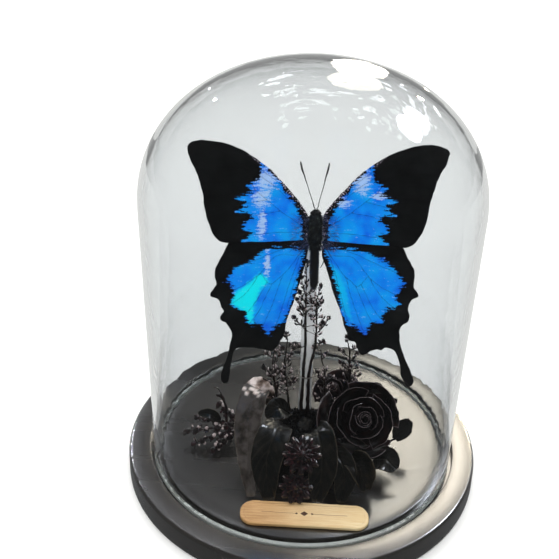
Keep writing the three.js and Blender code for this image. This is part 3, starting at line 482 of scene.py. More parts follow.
def make_piece(name, skin, material, node=None, crease=None):
    """Turns a skin into a Blender object that rides with the model."""
    mesh = bpy.data.meshes.new(name)
    mesh.from_pydata((np.vstack(skin.points) * MM).tolist(), [], skin.faces)
    for key, value in skin.values().items():
        mesh.attributes.new(key, "FLOAT", "POINT").data.foreach_set("value", value.astype(np.float32))
    mesh.materials.append(material)
    mesh.shade_smooth()
    if crease:
        mesh.set_sharp_from_angle(angle=math.radians(crease))
    piece = bpy.data.objects.new(name, mesh)
    bpy.context.scene.collection.objects.link(piece)
    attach(piece, "root")
    if node:
        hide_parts(node)


def unit(vectors):
    """Vectors scaled to a length of 1."""
    vectors = np.asarray(vectors, float)
    return vectors / np.maximum(np.linalg.norm(vectors, axis=-1, keepdims=True), 1e-9)


def full_turn(count):
    """Even angles all round."""
    return np.arange(count) * TAU / count


def facing_of(grid):
    """The way that a surface given as a grid of points faces, at each point."""
    return unit(np.cross(np.gradient(grid, axis=1), np.gradient(grid, axis=0)))


def scatter(index):
    """A repeatable scatter: the same number always gives the same share of 1."""
    return math.modf(abs(math.sin(index * 12.9898 + 4.1414) * 43758.5453 + 50000))[0]


def ripple(points, size, seed):
    """A smooth repeatable unevenness between about -1 and 1, with lumps about size across."""
    draw = np.random.default_rng(seed)
    waves = unit(draw.normal(size=(7, 3))) * TAU / size * draw.uniform(0.6, 1.5, (7, 1))
    return np.sin(np.asarray(points) @ waves.T + draw.uniform(0, TAU, 7)).sum(-1) / 3.5


def blend(t, start, end, leave, arrive):
    """The smooth way from start to end that leaves and arrives in the given directions."""
    return ((2 * t**3 - 3 * t**2 + 1) * start + (t**3 - 2 * t**2 + t) * leave
            + (3 * t**2 - 2 * t**3) * end + (t**3 - t**2) * arrive)


def curve_at(knots, shares):
    """Places on the smooth curve through the knots; shares run from 0 to 1."""
    knots = np.asarray(knots, float)
    last = len(knots) - 1
    ends = np.vstack([2 * knots[0] - knots[1], knots, 2 * knots[-1] - knots[-2]])
    place = np.clip(np.asarray(shares, float), 0, 1) * last
    index = np.minimum(place.astype(int), last - 1)
    t = (place - index)[..., None]
    before, start, end, after = (ends[index + step] for step in range(4))
    return blend(t, start, end, (end - before) / 2, (after - start) / 2)


def curve(knots, steps):
    """Even steps along the smooth curve through the knots."""
    return curve_at(knots, np.linspace(0, 1, steps))


def curve_along(knots, shares):
    """Directions along that curve."""
    shares = np.asarray(shares, float)
    return unit(curve_at(knots, shares + 1e-4) - curve_at(knots, shares - 1e-4))


def band(low, high, sides):
    """The faces between two rings of points, given by the number of each ring's first point."""
    here = np.arange(sides)
    after = (here + 1) % sides
    return np.column_stack([low + here, low + after, high + after, high + here]).tolist()


def loft(rings):
    """Joins equal rings of points into a skin, closed by a fan of faces at both ends."""
    count, sides = rings.shape[:2]
    points = np.vstack([rings.reshape(-1, 3), rings[0].mean(0), rings[-1].mean(0)])
    faces = []
    for ring in range(count - 1):
        faces += band(ring * sides, (ring + 1) * sides, sides)
    here = np.arange(sides)
    after = (here + 1) % sides
    first, last, top = count * sides, count * sides + 1, (count - 1) * sides
    faces += [[first, b, a] for a, b in zip(here, after)]
    faces += [[last, top + a, top + b] for a, b in zip(here, after)]
    return points, faces


def tube(path, radii, sides):
    """A round stem along a path, closed at both ends."""
    path = np.asarray(path, float)
    radii = np.broadcast_to(np.asarray(radii, float), len(path))
    along = unit(np.gradient(path, axis=0))
    across = np.empty_like(path)
    hint = np.array([0.31, 0.87, 0.23])
    for index, direction in enumerate(along):
        hint = unit(hint - direction * hint.dot(direction))
        across[index] = hint
    other = np.cross(along, across)
    turn = full_turn(sides)
    rings = path[:, None] + radii[:, None, None] * (
        across[:, None] * np.cos(turn)[None, :, None] + other[:, None] * np.sin(turn)[None, :, None])
    return loft(rings)


def spin(profile, steps):
    """The rings that the points of a (radius, height) profile draw round the upright axis."""
    profile = np.asarray(profile, float)
    turn = full_turn(steps)
    return np.stack([np.outer(profile[:, 0], np.cos(turn)), np.outer(profile[:, 0], np.sin(turn)),
                     np.repeat(profile[:, 1:], steps, axis=1)], axis=-1)


def lathe(profile, steps):
    """Turns a profile that starts and ends at the upright axis."""
    return loft(spin(profile, steps))


def hoop(outline, steps):
    """Turns a closed outline that stays off the upright axis."""
    rings = spin(outline, steps)
    faces = []
    for ring in range(len(rings)):
        faces += band(ring * steps, (ring + 1) % len(rings) * steps, steps)
    return rings.reshape(-1, 3), faces


def sheet(surface, across, along, thickness):
    """A thin closed sheet over surface(u, v), finer at its rim, with u, v and rim values."""
    u = np.sin(np.linspace(-1, 1, across + 1) * math.pi / 2 * 0.96) / math.sin(math.pi / 2 * 0.96)
    v = 0.5 - 0.5 * np.cos(np.linspace(0, 1, along + 1) * math.pi * 0.92 + 0.04 * math.pi)
    v = (v - v[0]) / (v[-1] - v[0])
    v_grid, u_grid = np.meshgrid(v, u, indexing="ij")
    grid = surface(u_grid, v_grid)
    facing = facing_of(grid)
    rim = np.minimum(1 - np.abs(u_grid), np.minimum(v_grid, 1 - v_grid) * 2)
    half = thickness / 2 * np.sqrt(np.clip(0.16 + rim * 9, 0, 1))
    front = (grid + facing * half[..., None]).reshape(-1, 3)
    back = (grid - facing * half[..., None]).reshape(-1, 3)
    width, size = across + 1, (across + 1) * (along + 1)
    a = (np.arange(along)[:, None] * width + np.arange(across)[None]).ravel()
    faces = np.column_stack([a, a + 1, a + 1 + width, a + width]).tolist()
    faces += (size + np.column_stack([a, a + width, a + 1 + width, a + 1])).tolist()
    edge = (list(range(across)) + [j * width + across for j in range(along)]
            + [along * width + i for i in range(across, 0, -1)] + [j * width for j in range(along, 0, -1)])
    faces += [[b, a, size + a, size + b] for a, b in zip(edge, edge[1:] + edge[:1])]
    values = {"across": np.tile(u_grid.ravel(), 2), "along": np.tile(v_grid.ravel(), 2),
              "rim": np.tile(rim.ravel(), 2)}
    return np.vstack([front, back]), faces, values


def axes_of(axis):
    """Two directions square to an axis, the first one level."""
    up = unit(axis)
    right = np.cross([0, 0, 1.0], up)
    if np.linalg.norm(right) < 1e-3:
        right = np.array([1.0, 0, 0])
    right = unit(right)
    return right, np.cross(up, right), up


def around(centre, axis):
    """A function that places (radius, turn, height) round a centre and axis."""
    right, back, up = axes_of(axis)
    centre = np.asarray(centre, float)

    def at(radius, turn, height):
        radius, turn, height = np.broadcast_arrays(radius, turn, height)
        return (centre + right * (radius * np.cos(turn))[..., None]
                + back * (radius * np.sin(turn))[..., None] + up * height[..., None])
    return at


def pod(centre, axis, length, radius, ribs, cut, sides, rings, taper=0.3):
    """A ribbed bud or berry round its centre."""
    at = around(centre, axis)
    share = 0.5 - 0.5 * np.cos(np.linspace(0.06, 0.94, rings) * math.pi)
    turn = full_turn(sides)
    girth = np.sin(share * math.pi) ** 0.7 * (1 + taper * (0.5 - share))
    rib = 1 - cut * (0.5 - 0.5 * np.cos(ribs * turn))
    return loft(at(radius * girth[:, None] * rib[None], turn[None], ((share - 0.5) * length)[:, None]))


# ---- the case ----

def arc(centre, radii, start, end, steps):
    """Points of an arc in a profile, between two angles in degrees."""
    turn = np.radians(np.linspace(start, end, steps))
    return [(centre[0] + radii[0] * math.cos(t), centre[1] + radii[1] * math.sin(t)) for t in turn]


NEAR_AXIS = 0.01                # turned profiles end this close to their axis
TURNED_EDGE = 40                # degrees: sharper edges than this are kept crisp
GROOVE_LIP = 0.35               # easing of the groove's outer edge
PLATEAU_EASING = 0.5
SIDE_LEAN = 0.2                 # how far the side leans in on its way up
TOP_RINGS = (62, 50, 35, 20, 8)     # these keep the faces of the flat top small


def make_base():
    """The turned board, with the ring groove that the glass stands in and all its edges eased."""
    floor = BASE_HEIGHT - GROOVE_DEPTH
    rounding, lip, easing = BASE_ROUNDING, GROOVE_LIP, PLATEAU_EASING
    side = BASE_FOOT_RADIUS - SIDE_LEAN
    shoulder = BASE_HEIGHT - rounding * 1.4
    profile = [(NEAR_AXIS, 0), (40, 0), (70, 0)]
    profile += arc((BASE_FOOT_RADIUS - rounding, rounding), (rounding, rounding), -90, 0, 7)
    profile += [(BASE_FOOT_RADIUS - 0.05, 3.5), (side + 0.05, 7)]
    profile += arc((BASE_TOP_RADIUS, shoulder), (side - BASE_TOP_RADIUS, BASE_HEIGHT - shoulder), 0, 90, 9)
    profile += [(76, BASE_HEIGHT)]
    profile += arc((GROOVE_OUTER_RADIUS + lip, BASE_HEIGHT - lip), (lip, lip), 90, 180, 4)
    profile += [(GROOVE_OUTER_RADIUS, floor), (PLATEAU_RADIUS + easing, floor)]
    profile += arc((PLATEAU_RADIUS, BASE_HEIGHT - easing), (easing, easing), 0, 90, 5)
    profile += [(radius, BASE_HEIGHT) for radius in (*TOP_RINGS, NEAR_AXIS)]
    make_piece("turned_base", Skin().add(*lathe(profile, 256)), lacquered_wood,
               "base_board", crease=TURNED_EDGE)


GLASS_FOOT = BASE_HEIGHT - GROOVE_DEPTH + REST
GROUND_TOP = GLASS_FOOT + 2.7   # the glass is ground matt up to here
FOOT_ROUNDING = 1.2
FLARE_START = GLASS_FOOT + 40   # from here up to the shoulder the wall widens a little


def dome_wall(radius, cap_height):
    """One side of the clear glass, from the top of its ground foot to its crown."""
    shoulder = BASE_HEIGHT + GLASS_STRAIGHT_HEIGHT
    start = radius - (GLASS_SHOULDER_RADIUS - GLASS_RADIUS)
    line = []
    for height in np.linspace(GROUND_TOP, shoulder, 14)[:-1]:
        share = np.clip((height - FLARE_START) / (shoulder - FLARE_START), 0, 1)
        line.append((start + (radius - start) * share, height))
    power = 2 / GLASS_CAP_POWER
    for turn in np.linspace(0, math.pi / 2, 40):
        reach = max(math.cos(turn), 0) ** power
        line.append((max(radius * reach, NEAR_AXIS), shoulder + cap_height * math.sin(turn) ** power))
    return line


def make_dome():
    """The glass in two pieces that touch: the clear dome and the frosted ring it stands on."""
    outer = dome_wall(GLASS_SHOULDER_RADIUS, GLASS_CAP_HEIGHT)
    inner = dome_wall(GLASS_SHOULDER_RADIUS - GLASS_WALL, GLASS_CAP_HEIGHT - GLASS_WALL)
    make_piece("blown_dome", Skin().add(*lathe(inner[::-1] + outer, 192)), blown_glass,
               "glass_dome", crease=TURNED_EDGE)
    half = GLASS_WALL / 2
    rim = arc((GLASS_RADIUS - half, GLASS_FOOT + FOOT_ROUNDING), (half, FOOT_ROUNDING), 180, 360, 9)
    outline = [(GLASS_RADIUS - GLASS_WALL, GROUND_TOP)] + rim + [(GLASS_RADIUS, GROUND_TOP)]
    make_piece("ground_foot", Skin().add(*hoop(outline, 192)), ground_glass,
               crease=TURNED_EDGE)


def stadium(length, width, corner, spacing):
    """A rounded oblong outline about the origin."""
    half_length, half_width = length / 2 - corner, width / 2 - corner
    points = []
    for quarter, (x, y) in enumerate(((1, 1), (-1, 1), (-1, -1), (1, -1))):
        turn = np.linspace(quarter, quarter + 1, 9) * math.pi / 2
        points += [(x * half_length + corner * math.cos(t), y * half_width + corner * math.sin(t))
                   for t in turn]
    return even_outline(np.array(points), spacing)


def even_outline(points, spacing):
    """A closed outline with its points evenly spaced."""
    ring = np.vstack([points, points[:1]])
    walked = np.concatenate([[0], np.cumsum(np.linalg.norm(np.diff(ring, axis=0), axis=1))])
    count = max(int(walked[-1] / spacing), 8)
    places = np.linspace(0, walked[-1], count, endpoint=False)
    return np.column_stack([np.interp(places, walked, ring[:, axis]) for axis in (0, 1)])


def distance_to(points, starts, ends):
    """Each point's distance to the nearest of some straight lines."""
    best = np.full(len(points), np.inf)
    for start, end in zip(starts, ends):
        line = end - start
        share = np.clip((points - start) @ line / max(line @ line, 1e-9), 0, 1)
        best = np.minimum(best, np.linalg.norm(points - start - share[:, None] * line, axis=1))
    return best


def depth_inside(points, outline):
    """Each point's distance to an outline, negative outside it."""
    outline = np.asarray(outline, float)
    after = np.roll(outline, -1, axis=0)
    inside = np.zeros(len(points), bool)
    x, y = points.T
    for (x1, y1), (x2, y2) in zip(outline, after):
        if y1 != y2:
            crosses = ((y1 > y) != (y2 > y)) & (x < (x2 - x1) * (y - y1) / (y2 - y1) + x1)
            inside ^= crosses
    distance = distance_to(points, outline, after)
    return np.where(inside, distance, -distance)


def fill_outline(outline, spacing):
    """Fills a flat outline with even triangles: its points, triangles and edge loop."""
    low, high = outline.min(0), outline.max(0)
    rows = []
    for index, row in enumerate(np.arange(low[1], high[1], spacing * 0.866)):
        places = np.arange(low[0] + (index % 2) * spacing / 2, high[0], spacing)
        rows.append(np.column_stack([places, np.full(len(places), row)]))
    inner = np.vstack(rows)
    inner = inner[depth_inside(inner, outline) > spacing * 0.5]
    flat = np.vstack([outline, inner])
    loop = list(range(len(outline)))
    found = delaunay_2d_cdt([Vector(point) for point in flat], [], [loop], 1, 1e-6)
    points = np.array([tuple(point) for point in found[0]])
    triangles = [list(face) for face in found[2]]
    edges = dict.fromkeys(edge for a, b, c in triangles for edge in ((a, b), (b, c), (c, a)))
    loop = [edge for edge in edges if edge[::-1] not in edges]
    return points, triangles, loop


def two_faced(triangles, loop, count, flip=False):
    """Faces for a front and a back layer of the same triangles, and the rim between them."""
    faces = [list(face) for face in triangles]
    faces += [[count + c, count + b, count + a] for a, b, c in triangles]
    faces += [[b, a, count + a, count + b] for a, b in loop]
    return [face[::-1] for face in faces] if flip else faces


PLAQUE_SPACING = 0.4            # between the points of its mesh
BORDER_INSET, BORDER_HALF = 1.6, 0.12
LINE_MIDDLE, LINE_REACH, LINE_HALF = 11, 7, 0.22
DIAMOND_LENGTH, DIAMOND_WIDTH = 1.9, 1.5         # from its middle to its corners
DOT_PLACE, DOT_RADIUS = 3.3, 0.55
PLAQUE_BOW = 0.12
PLAQUE_EASING = 0.35


def make_plaque():
    """A little veneer label with a thin burnt border and an ornament, and no lettering."""
    outline = stadium(PLAQUE_LENGTH, PLAQUE_WIDTH, PLAQUE_CORNER, PLAQUE_SPACING)
    flat, triangles, loop = fill_outline(outline, PLAQUE_SPACING)
    edge = depth_inside(flat, outline)
    x, y = flat.T
    border = BORDER_HALF - np.abs(edge - BORDER_INSET)
    lines = LINE_HALF - np.hypot(np.maximum(np.abs(np.abs(x) - LINE_MIDDLE) - LINE_REACH, 0), np.abs(y))
    diamond = 1.4 * (1.0 - (np.abs(x) / DIAMOND_LENGTH + np.abs(y) / DIAMOND_WIDTH))
    dots = DOT_RADIUS - np.hypot(np.abs(x) - DOT_PLACE, y)
    ornament = np.maximum.reduce([border, lines, diamond, dots])
    bow = PLAQUE_BOW * np.cos(x * math.pi / PLAQUE_LENGTH)
    ease = PLAQUE_EASING * np.clip(1 - edge / 0.6, 0, 1) ** 2
    place = np.column_stack([x + PLAQUE_CENTRE[0], y + PLAQUE_CENTRE[1]])
    top = np.column_stack([place, PLATEAU_REST + PLAQUE_THICKNESS - PLAQUE_BOW + bow - ease])
    bottom = np.column_stack([place, PLATEAU_REST + ease * 0.3])
    faces = two_faced(triangles, loop, len(flat))
    # The painted light gradient runs along the label and is paler towards its right end.
    skin = Skin().add(np.vstack([top, bottom]), faces,
                      ornament=np.concatenate([ornament, np.full(len(flat), -1.0)]),
                      sapwood=np.tile(np.clip(0.35 + x / PLAQUE_LENGTH, 0, 1), 2))
    make_piece("birch_label", skin, birch, "label_plaque", crease=50)


# ---- the rod and its tie ----

ROD_CHAMFER = 0.4


def make_rod():
    """A clear round rod, chamfered at both ends."""
    narrow = ROD_RADIUS - ROD_CHAMFER
    profile = [(NEAR_AXIS, PLATEAU_REST), (narrow, PLATEAU_REST), (ROD_RADIUS, PLATEAU_REST + ROD_CHAMFER)]
    profile += [(ROD_RADIUS, height) for height in np.linspace(PLATEAU_REST + 6, ROD_TOP - 6, 12)]
    profile += [(ROD_RADIUS, ROD_TOP - ROD_CHAMFER), (narrow, ROD_TOP), (NEAR_AXIS, ROD_TOP)]
    points, faces = lathe(profile, 48)
    points[:, :2] += ROD_CENTRE
    make_piece("acrylic_rod", Skin().add(points, faces), cast_acrylic, "support_rod",
               crease=TURNED_EDGE)


STRAND_RADIUS = 0.17
STRAND_OFFSET = 0.14            # of each strand from the middle of the twist
TIE_TWISTS = 16


def make_tie():
    """A loop of two twisted wires round the rod and the stems, with two short tails behind."""
    skin = Skin()
    turn = np.linspace(0, TAU, 160, endpoint=False)
    for strand in (0, math.pi):
        twist = turn * TIE_TWISTS + strand
        reach = STRAND_OFFSET * np.cos(twist)
        path = np.column_stack([
            ROD_CENTRE[0] + (TIE_HALF_WIDTH + reach) * np.cos(turn),
            TIE_CENTRE_Y + (TIE_HALF_DEPTH + reach) * np.sin(turn),
            TIE_HEIGHT + STRAND_OFFSET * np.sin(twist),
        ])
        skin.add(*tube(np.vstack([path, path[:1]]), STRAND_RADIUS, 6))
    for lean in (-1, 1):
        tail = np.array([(0, 6.4, 0), (lean * 0.3, 7.0, 0.5), (lean * 0.9, 7.4, 1.5)])
        skin.add(*tube(curve(tail + [ROD_CENTRE[0], 0, TIE_HEIGHT], 8), STRAND_RADIUS, 6))
    make_piece("twisted_tie", skin, steel_wire, "wire_tie")


# ---- the butterfly ----
# Body places are (across, along, lift): across to the right, along towards the head,
# and lift out of the wings' plane towards the front.

def turned(vector, axis, angle):
    """A vector turned about an axis."""
    vector, axis = np.asarray(vector, float), np.asarray(axis, float)
    return (vector * math.cos(angle) + np.cross(axis, vector) * math.sin(angle)
            + axis * axis.dot(vector) * (1 - math.cos(angle)))


body_right = np.array([1.0, 0.0, 0.0])
body_up = np.array([0.0, math.sin(BODY_LEAN), math.cos(BODY_LEAN)])
body_front = np.cross(body_right, body_up)
body_right = turned(body_right, body_front, BODY_ROLL)
body_up = turned(body_up, body_front, BODY_ROLL)


def on_body(across, along, lift):
    """Where a body place lies."""
    across, along, lift = np.broadcast_arrays(across, along, lift)
    return (THORAX_CENTRE + across[..., None] * body_right + along[..., None] * body_up
            + lift[..., None] * body_front)


def on_wing(side, span, along, lift):
    """Where a wing place lies: side is 1 for the right wings, -1 for the left; span runs outwards."""
    outward = body_right * side * math.cos(WING_RISE) + body_front * math.sin(WING_RISE)
    facing = body_front * math.cos(WING_RISE) - body_right * side * math.sin(WING_RISE)
    span, along, lift = np.broadcast_arrays(span, along, lift)
    below = np.minimum(along - TAIL_SWEEP_START, 0)
    bow = WING_CAMBER * np.sin(math.pi * span / WING_CAMBER_SPAN) - TAIL_SWEEP * below * below
    return (THORAX_CENTRE + span[..., None] * outward + along[..., None] * body_up
            + (lift + bow)[..., None] * facing)


FOREWING_OUTLINE = [
    (3.2, 4.6), (5.3, 8.6), (9.5, 13.6), (14, 18.6), (19.2, 23.6), (24.4, 27.4), (29.9, 30.7),
    (35.8, 33.1), (41.5, 34.3), (46.2, 34.6), (50, 34), (52.2, 32.7), (52.8, 30.6), (52, 27.4),
    (50, 23.4), (48.2, 19), (46.6, 13.4), (45.6, 7.6), (44.6, 2.4), (43, -1.8), (41.2, -4.6),
    (39.2, -6.2), (36, -6.8), (30, -6.2), (19, -5.8), (11.6, -5.5), (6.5, -5.2), (3.3, -3.6),
]
HINDWING_RIGHT_OUTLINE = [
    (3.2, -5.4), (3.1, -11.6), (5, -16.7), (6.4, -20.9), (7.8, -25.5), (9.6, -30.1), (11.5, -34.3),
    (13, -39.9), (14.1, -42.8), (15.3, -46.3), (17.9, -47), (18.8, -49.6), (20.4, -52.2),
    (22.7, -51.9), (24.3, -50.5), (26.8, -49.5), (28.9, -49.9), (30.6, -48.7), (32.3, -48.8),
    (34.4, -50), (35.8, -53.4), (36.8, -56.8), (37.4, -61.1), (40.2, -65.3), (42.2, -64.6),
    (42.5, -61.6), (40.6, -57.4), (38.8, -53.2), (37.3, -49.4), (36.3, -45.6), (36, -41.3),
    (37.1, -38.7), (39.3, -37.1), (39.9, -34.7), (39.1, -31.3), (40.6, -27.9), (43.2, -26.3),
    (42.5, -24.4), (41, -22.4), (41.1, -16.5), (40, -14), (37.8, -10.3), (35, -5.6), (28, -3.6),
    (12, -3.2), (6, -3.6),
]
HINDWING_LEFT_OUTLINE = [
    (3.2, -5.4), (3, -11.4), (5, -20.3), (8.2, -30.3), (11, -39.3), (12, -45.4), (15.2, -50.6),
    (16.8, -51.9), (21, -51.1), (26.1, -50.3), (31.9, -51.2), (33.4, -55.3), (34.1, -60.5),
    (34.7, -65.6), (36.3, -66.9), (37.9, -64.9), (37.5, -61.5), (36.3, -57.5), (35.1, -53.1),
    (34.3, -48.8), (33.7, -44.8), (34.7, -42.2), (36.1, -39.8), (38, -39), (38.4, -37.1),
    (37.2, -34.9), (38.3, -33.2), (39.3, -30.2), (42.5, -28.8), (42.4, -26.9), (40.5, -23.9),
    (41.2, -20.9), (41, -17.5), (39.4, -14.1), (37.3, -10.3), (34.6, -5.6), (28, -3.6),
    (12, -3.2), (6, -3.6),
]

# Where the blue scales lie, as (span, along) outlines with their ragged teeth.
FOREWING_BLUE = [
    (19.4, 22.6), (22.6, 26.4), (23.3, 20.8), (25.2, 18.8), (28.4, 16.6), (26.4, 14), (32.7, 11.8),
    (28.8, 10.3), (29.4, 9.2), (27.4, 8.5), (32.2, 6.4), (29.7, 5.7), (24.2, 5.3), (26.6, 3.4),
    (29.6, 0.9), (29.7, -0.9), (28, -1.8), (24.4, -2.2), (28, -4), (29.8, -5.4), (29, -7.4),
    (5.6, -7), (5.9, 2), (6.8, 6.4), (9, 10), (13, 14), (15.4, 18.6),
]
HINDWING_LEFT_BLUE = [
    (4.6, -9.2), (16.8, -8.6), (22.5, -10.4), (25.2, -13.8), (33, -17.5), (36.4, -22.5), (33.3, -24.6),
    (32.8, -27.6), (34.2, -32), (30.7, -34), (28.2, -35.4), (26.9, -40.1), (25.2, -40.6),
    (24.4, -39), (21.5, -40.4), (20.2, -42.6), (18.1, -44.3), (16.5, -41.7), (15.3, -40.2),
    (13.4, -40.2), (11.9, -39.4), (8.5, -27.8), (5, -14.1),
]
HINDWING_RIGHT_BLUE = [
    (3.9, -9.1), (14.9, -8.2), (23.3, -10), (28.8, -12.7), (33.1, -16.1), (37.4, -21.2), (33.5, -26.7),
    (35.5, -29.9), (30.8, -32), (29.2, -33), (28.3, -37.9), (25, -37.6), (23.9, -38.2), (21.8, -43.5),
    (19.2, -41.3), (17.6, -39.4), (14.4, -39.6), (12.9, -36.5), (10.4, -26.3), (6.6, -15.4),
]

# Veins as (span, along), each from the body or from another vein outwards.
FOREWING_VEINS = [
    [(3.6, 3), (9, 11), (15, 17.6), (22, 22.8), (30, 28), (38, 31.6)],
    [(3.6, 1.6), (8, 8), (14.5, 14.4), (21, 19.4), (27, 22.4)],
    [(4, -0.6), (8.9, 2.9), (14.7, 6.7), (20.3, 11.3), (25.2, 15.1)],
    [(25.2, 15.1), (27, 18.4), (27.6, 20.6), (27, 22.4)],
    [(14.7, 6.7), (23.5, 5.2), (34, 2.2), (44, -0.8)],
    [(20.3, 11.3), (28, 9.6), (36, 7.8), (45.4, 5.6)],
    [(25.2, 15.1), (33, 13.6), (46.4, 12.2)],
    [(27, 18.4), (36, 18.6), (47.8, 17.6)],
    [(27.6, 20.6), (37, 23.4), (49.8, 23)],
    [(27, 22.4), (38, 28), (51.6, 28.4)],
    [(30, 24), (38, 29.8), (49, 33.4)],
    [(4.2, -2), (15, -2), (29, -3.4), (41.4, -4)],
]
HINDWING_VEINS = [
    [(4, -5.8), (14, -6.4), (26, -8.6), (38.4, -12)],
    [(4, -6.6), (10, -8), (18, -10.8), (28, -15), (40, -19.4)],
    [(4, -7.8), (6.9, -11.2), (13, -11.2), (17.2, -12.6), (22.4, -19.2), (32, -25.4), (40.5, -27)],
    [(22.4, -19.2), (29, -28), (37.5, -34)],
    [(19.5, -22.4), (25.5, -33), (34, -42)],
    [(17.5, -23.2), (23.5, -36), (31.5, -46.5), (35.4, -54), (37.4, -61)],
    [(13, -19.6), (18, -34), (24.4, -49.6)],
    [(5.4, -9.4), (9.8, -22), (13.8, -36), (18.4, -48.6)],
    [(4.6, -10), (7.4, -20), (11, -33)],
    [(5.4, -9.4), (10, -16.2), (13, -19.6), (17.5, -23.2), (19.5, -22.4), (22.4, -19.2)],
]

WINGS = [
    ("forewing_left", -1, FOREWING_OUTLINE, FOREWING_BLUE, FOREWING_VEINS, 0.0),
    ("forewing_right", 1, FOREWING_OUTLINE, FOREWING_BLUE, FOREWING_VEINS, 0.0),
    ("hindwing_left", -1, HINDWING_LEFT_OUTLINE, HINDWING_LEFT_BLUE, HINDWING_VEINS, -HINDWING_DROP),
    ("hindwing_right", 1, HINDWING_RIGHT_OUTLINE, HINDWING_RIGHT_BLUE, HINDWING_VEINS, -HINDWING_DROP),
]

# Painted light on the blue: where a pale painted reflection lies, as (span, along, half width, half height),
# and where a painted cyan highlight turns it cyan.
PAINTED_SHEEN = {
    "forewing_left": [(21, 19, 6, 6), (22.5, 12, 5, 6), (22, 1, 2.4, 9)],
    "forewing_right": [(18.6, 19, 4.4, 6.5), (10.5, 10.5, 5, 2.6), (26, 14, 5, 2)],
    "hindwing_left": [(19.6, -15, 1.8, 7)],
}
PAINTED_GLINT_OUTLINE = {
    "hindwing_left": [(22.4, -19.2), (19, -22.1), (22.2, -25.4), (24.6, -32.1), (25.2, -39.6),
                      (26.9, -39.6), (28.2, -35.4), (34, -31.8), (32.8, -27.6)],
    "hindwing_right": [(6, -14), (9, -24), (12, -33), (16, -38), (14.5, -28), (10.5, -18)],
}
# On the right hindwing the painted cyan highlight is weaker and stands partly for the wing's own teal.
PAINTED_GLINT_SHARE = {"hindwing_left": 1.0, "hindwing_right": 0.35}
MEMBRANE_HALF = 0.12            # half the thickness of the membrane
VEIN_HALF = 0.1                 # how far a vein stands out of each face
VEIN_WIDTH = 0.3
WING_SPACING = 0.5              # between the points of a wing's mesh


def smooth_outline(knots, spacing):
    """A rounded closed outline through the knots."""
    knots = np.asarray(knots, float)
    pull = 0.42                 # less than the 0.5 of curve_at() keeps the corners tighter
    t = np.linspace(0, 1, 8, endpoint=False)[:, None]
    points = []
    turns = [np.roll(knots, -step, axis=0) for step in (-1, 0, 1, 2)]
    for before, start, end, after in zip(*turns):
        points.append(blend(t, start, end, pull * (end - before), pull * (after - start)))
    return even_outline(np.vstack(points), spacing)


def make_wing(name, side, knots, blue, veins, lift):
    """A wing membrane, a little wavy, with raised veins and the values that its scales follow."""
    outline = smooth_outline(knots, WING_SPACING)
    flat, triangles, loop = fill_outline(outline, WING_SPACING)
    span, along = flat.T
    lines = [curve(vein, 14) for vein in veins]
    starts = np.vstack([line[:-1] for line in lines])
    ends = np.vstack([line[1:] for line in lines])
    vein = distance_to(flat, starts, ends)
    edge = depth_inside(flat, outline)
    patch = depth_inside(flat, np.array(blue, float))
    spots = np.column_stack([flat, np.zeros(len(flat))])
    wave = 0.22 * ripple(spots, 13, 5) + 0.1 * ripple(spots, 4.5, 8)
    wave = wave * np.clip(span / 12, 0, 1)
    ridge = np.exp(-(vein / VEIN_WIDTH) ** 2) * np.clip(edge / 1.5, 0, 1)
    half = MEMBRANE_HALF * np.clip(0.45 + edge, 0, 1) + VEIN_HALF * ridge
    front = on_wing(side, span, along, lift + wave + half)
    back = on_wing(side, span, along, lift + wave - half)
    # Pale dust lies round the wing's root and along the inner half of the forewing's front edge.
    near_root = np.clip(1 - np.hypot(span - 3, along + 1.5) / 13, 0, 1)
    front_edge = np.clip(1.3 - edge / 2.4, 0, 1) * np.clip(along / 6, 0, 1) * np.clip((32 - span) / 6, 0, 1)
    values = {"span": span, "along": along, "vein": vein, "patch": patch}
    values["dust"] = np.maximum(near_root * 0.9, front_edge if lift == 0 else 0)
    # Where the pale painted reflection lies.
    values["sheen"] = np.zeros(len(flat))
    for across, up, half_width, half_height in PAINTED_SHEEN.get(name, []):
        reach = np.hypot((span - across) / half_width, (along - up) / half_height)
        values["sheen"] = np.maximum(values["sheen"], np.clip(1.2 - reach, 0, 1))
    # The painted cyan highlight, inside its outline with a ragged edge.
    if name in PAINTED_GLINT_OUTLINE:
        depth = depth_inside(flat, np.array(PAINTED_GLINT_OUTLINE[name], float))
        ragged = np.clip(0.5 + depth * 0.7 + 0.25 * ripple(spots, 2.2, 12), 0, 1)
        values["glint"] = PAINTED_GLINT_SHARE[name] * ragged
    both = {key: np.tile(value, 2) for key, value in values.items()}
    faces = two_faced(triangles, loop, len(flat), side < 0)
    skin = Skin().add(np.vstack([front, back]), faces, **both)
    make_piece(name + "_scaled", skin, wing_scales, name)


# (radius, along) from the tip of the abdomen to the front of the head.
BODY_PROFILE = [
    (0.9, -25.4), (1.6, -23), (1.95, -19), (2, -14), (1.85, -9.5), (1.5, -7), (2.2, -5.2),
    (2.65, -2.5), (2.7, 0.5), (2.3, 3), (1.3, 4.2), (1.9, 5.2), (2, 6.3), (1.2, 7.7),
]
# Three folded legs as body places. The other three are left out, as if the hair hid them.
LEG_PATHS = [
    [(-1.4, -3, -1), (-3.9, -12.5, -3.2), (-3.1, -20.5, -4)],
    [(1.4, -3, -1), (3.9, -12.8, -3.2), (2.7, -17, -3.6)],
    [(-1.2, 1.5, -1.2), (-3.4, -2, -4.2), (-2.6, -7, -4.8)],
]
SEGMENT_LENGTH = 2.5
SEGMENT_GROOVE = 0.16
EYE_PLACE, EYE_RADIUS = (1.45, 6.2, 0.6), 0.95
TONGUE_RADIUS = 0.09
TONGUE_TURNS = 2.2
LEG_SPURS = 14


def body_girth(along):
    """The body's radius at a place along it."""
    knots = np.array(BODY_PROFILE)
    return np.interp(along, knots[:, 1], knots[:, 0])


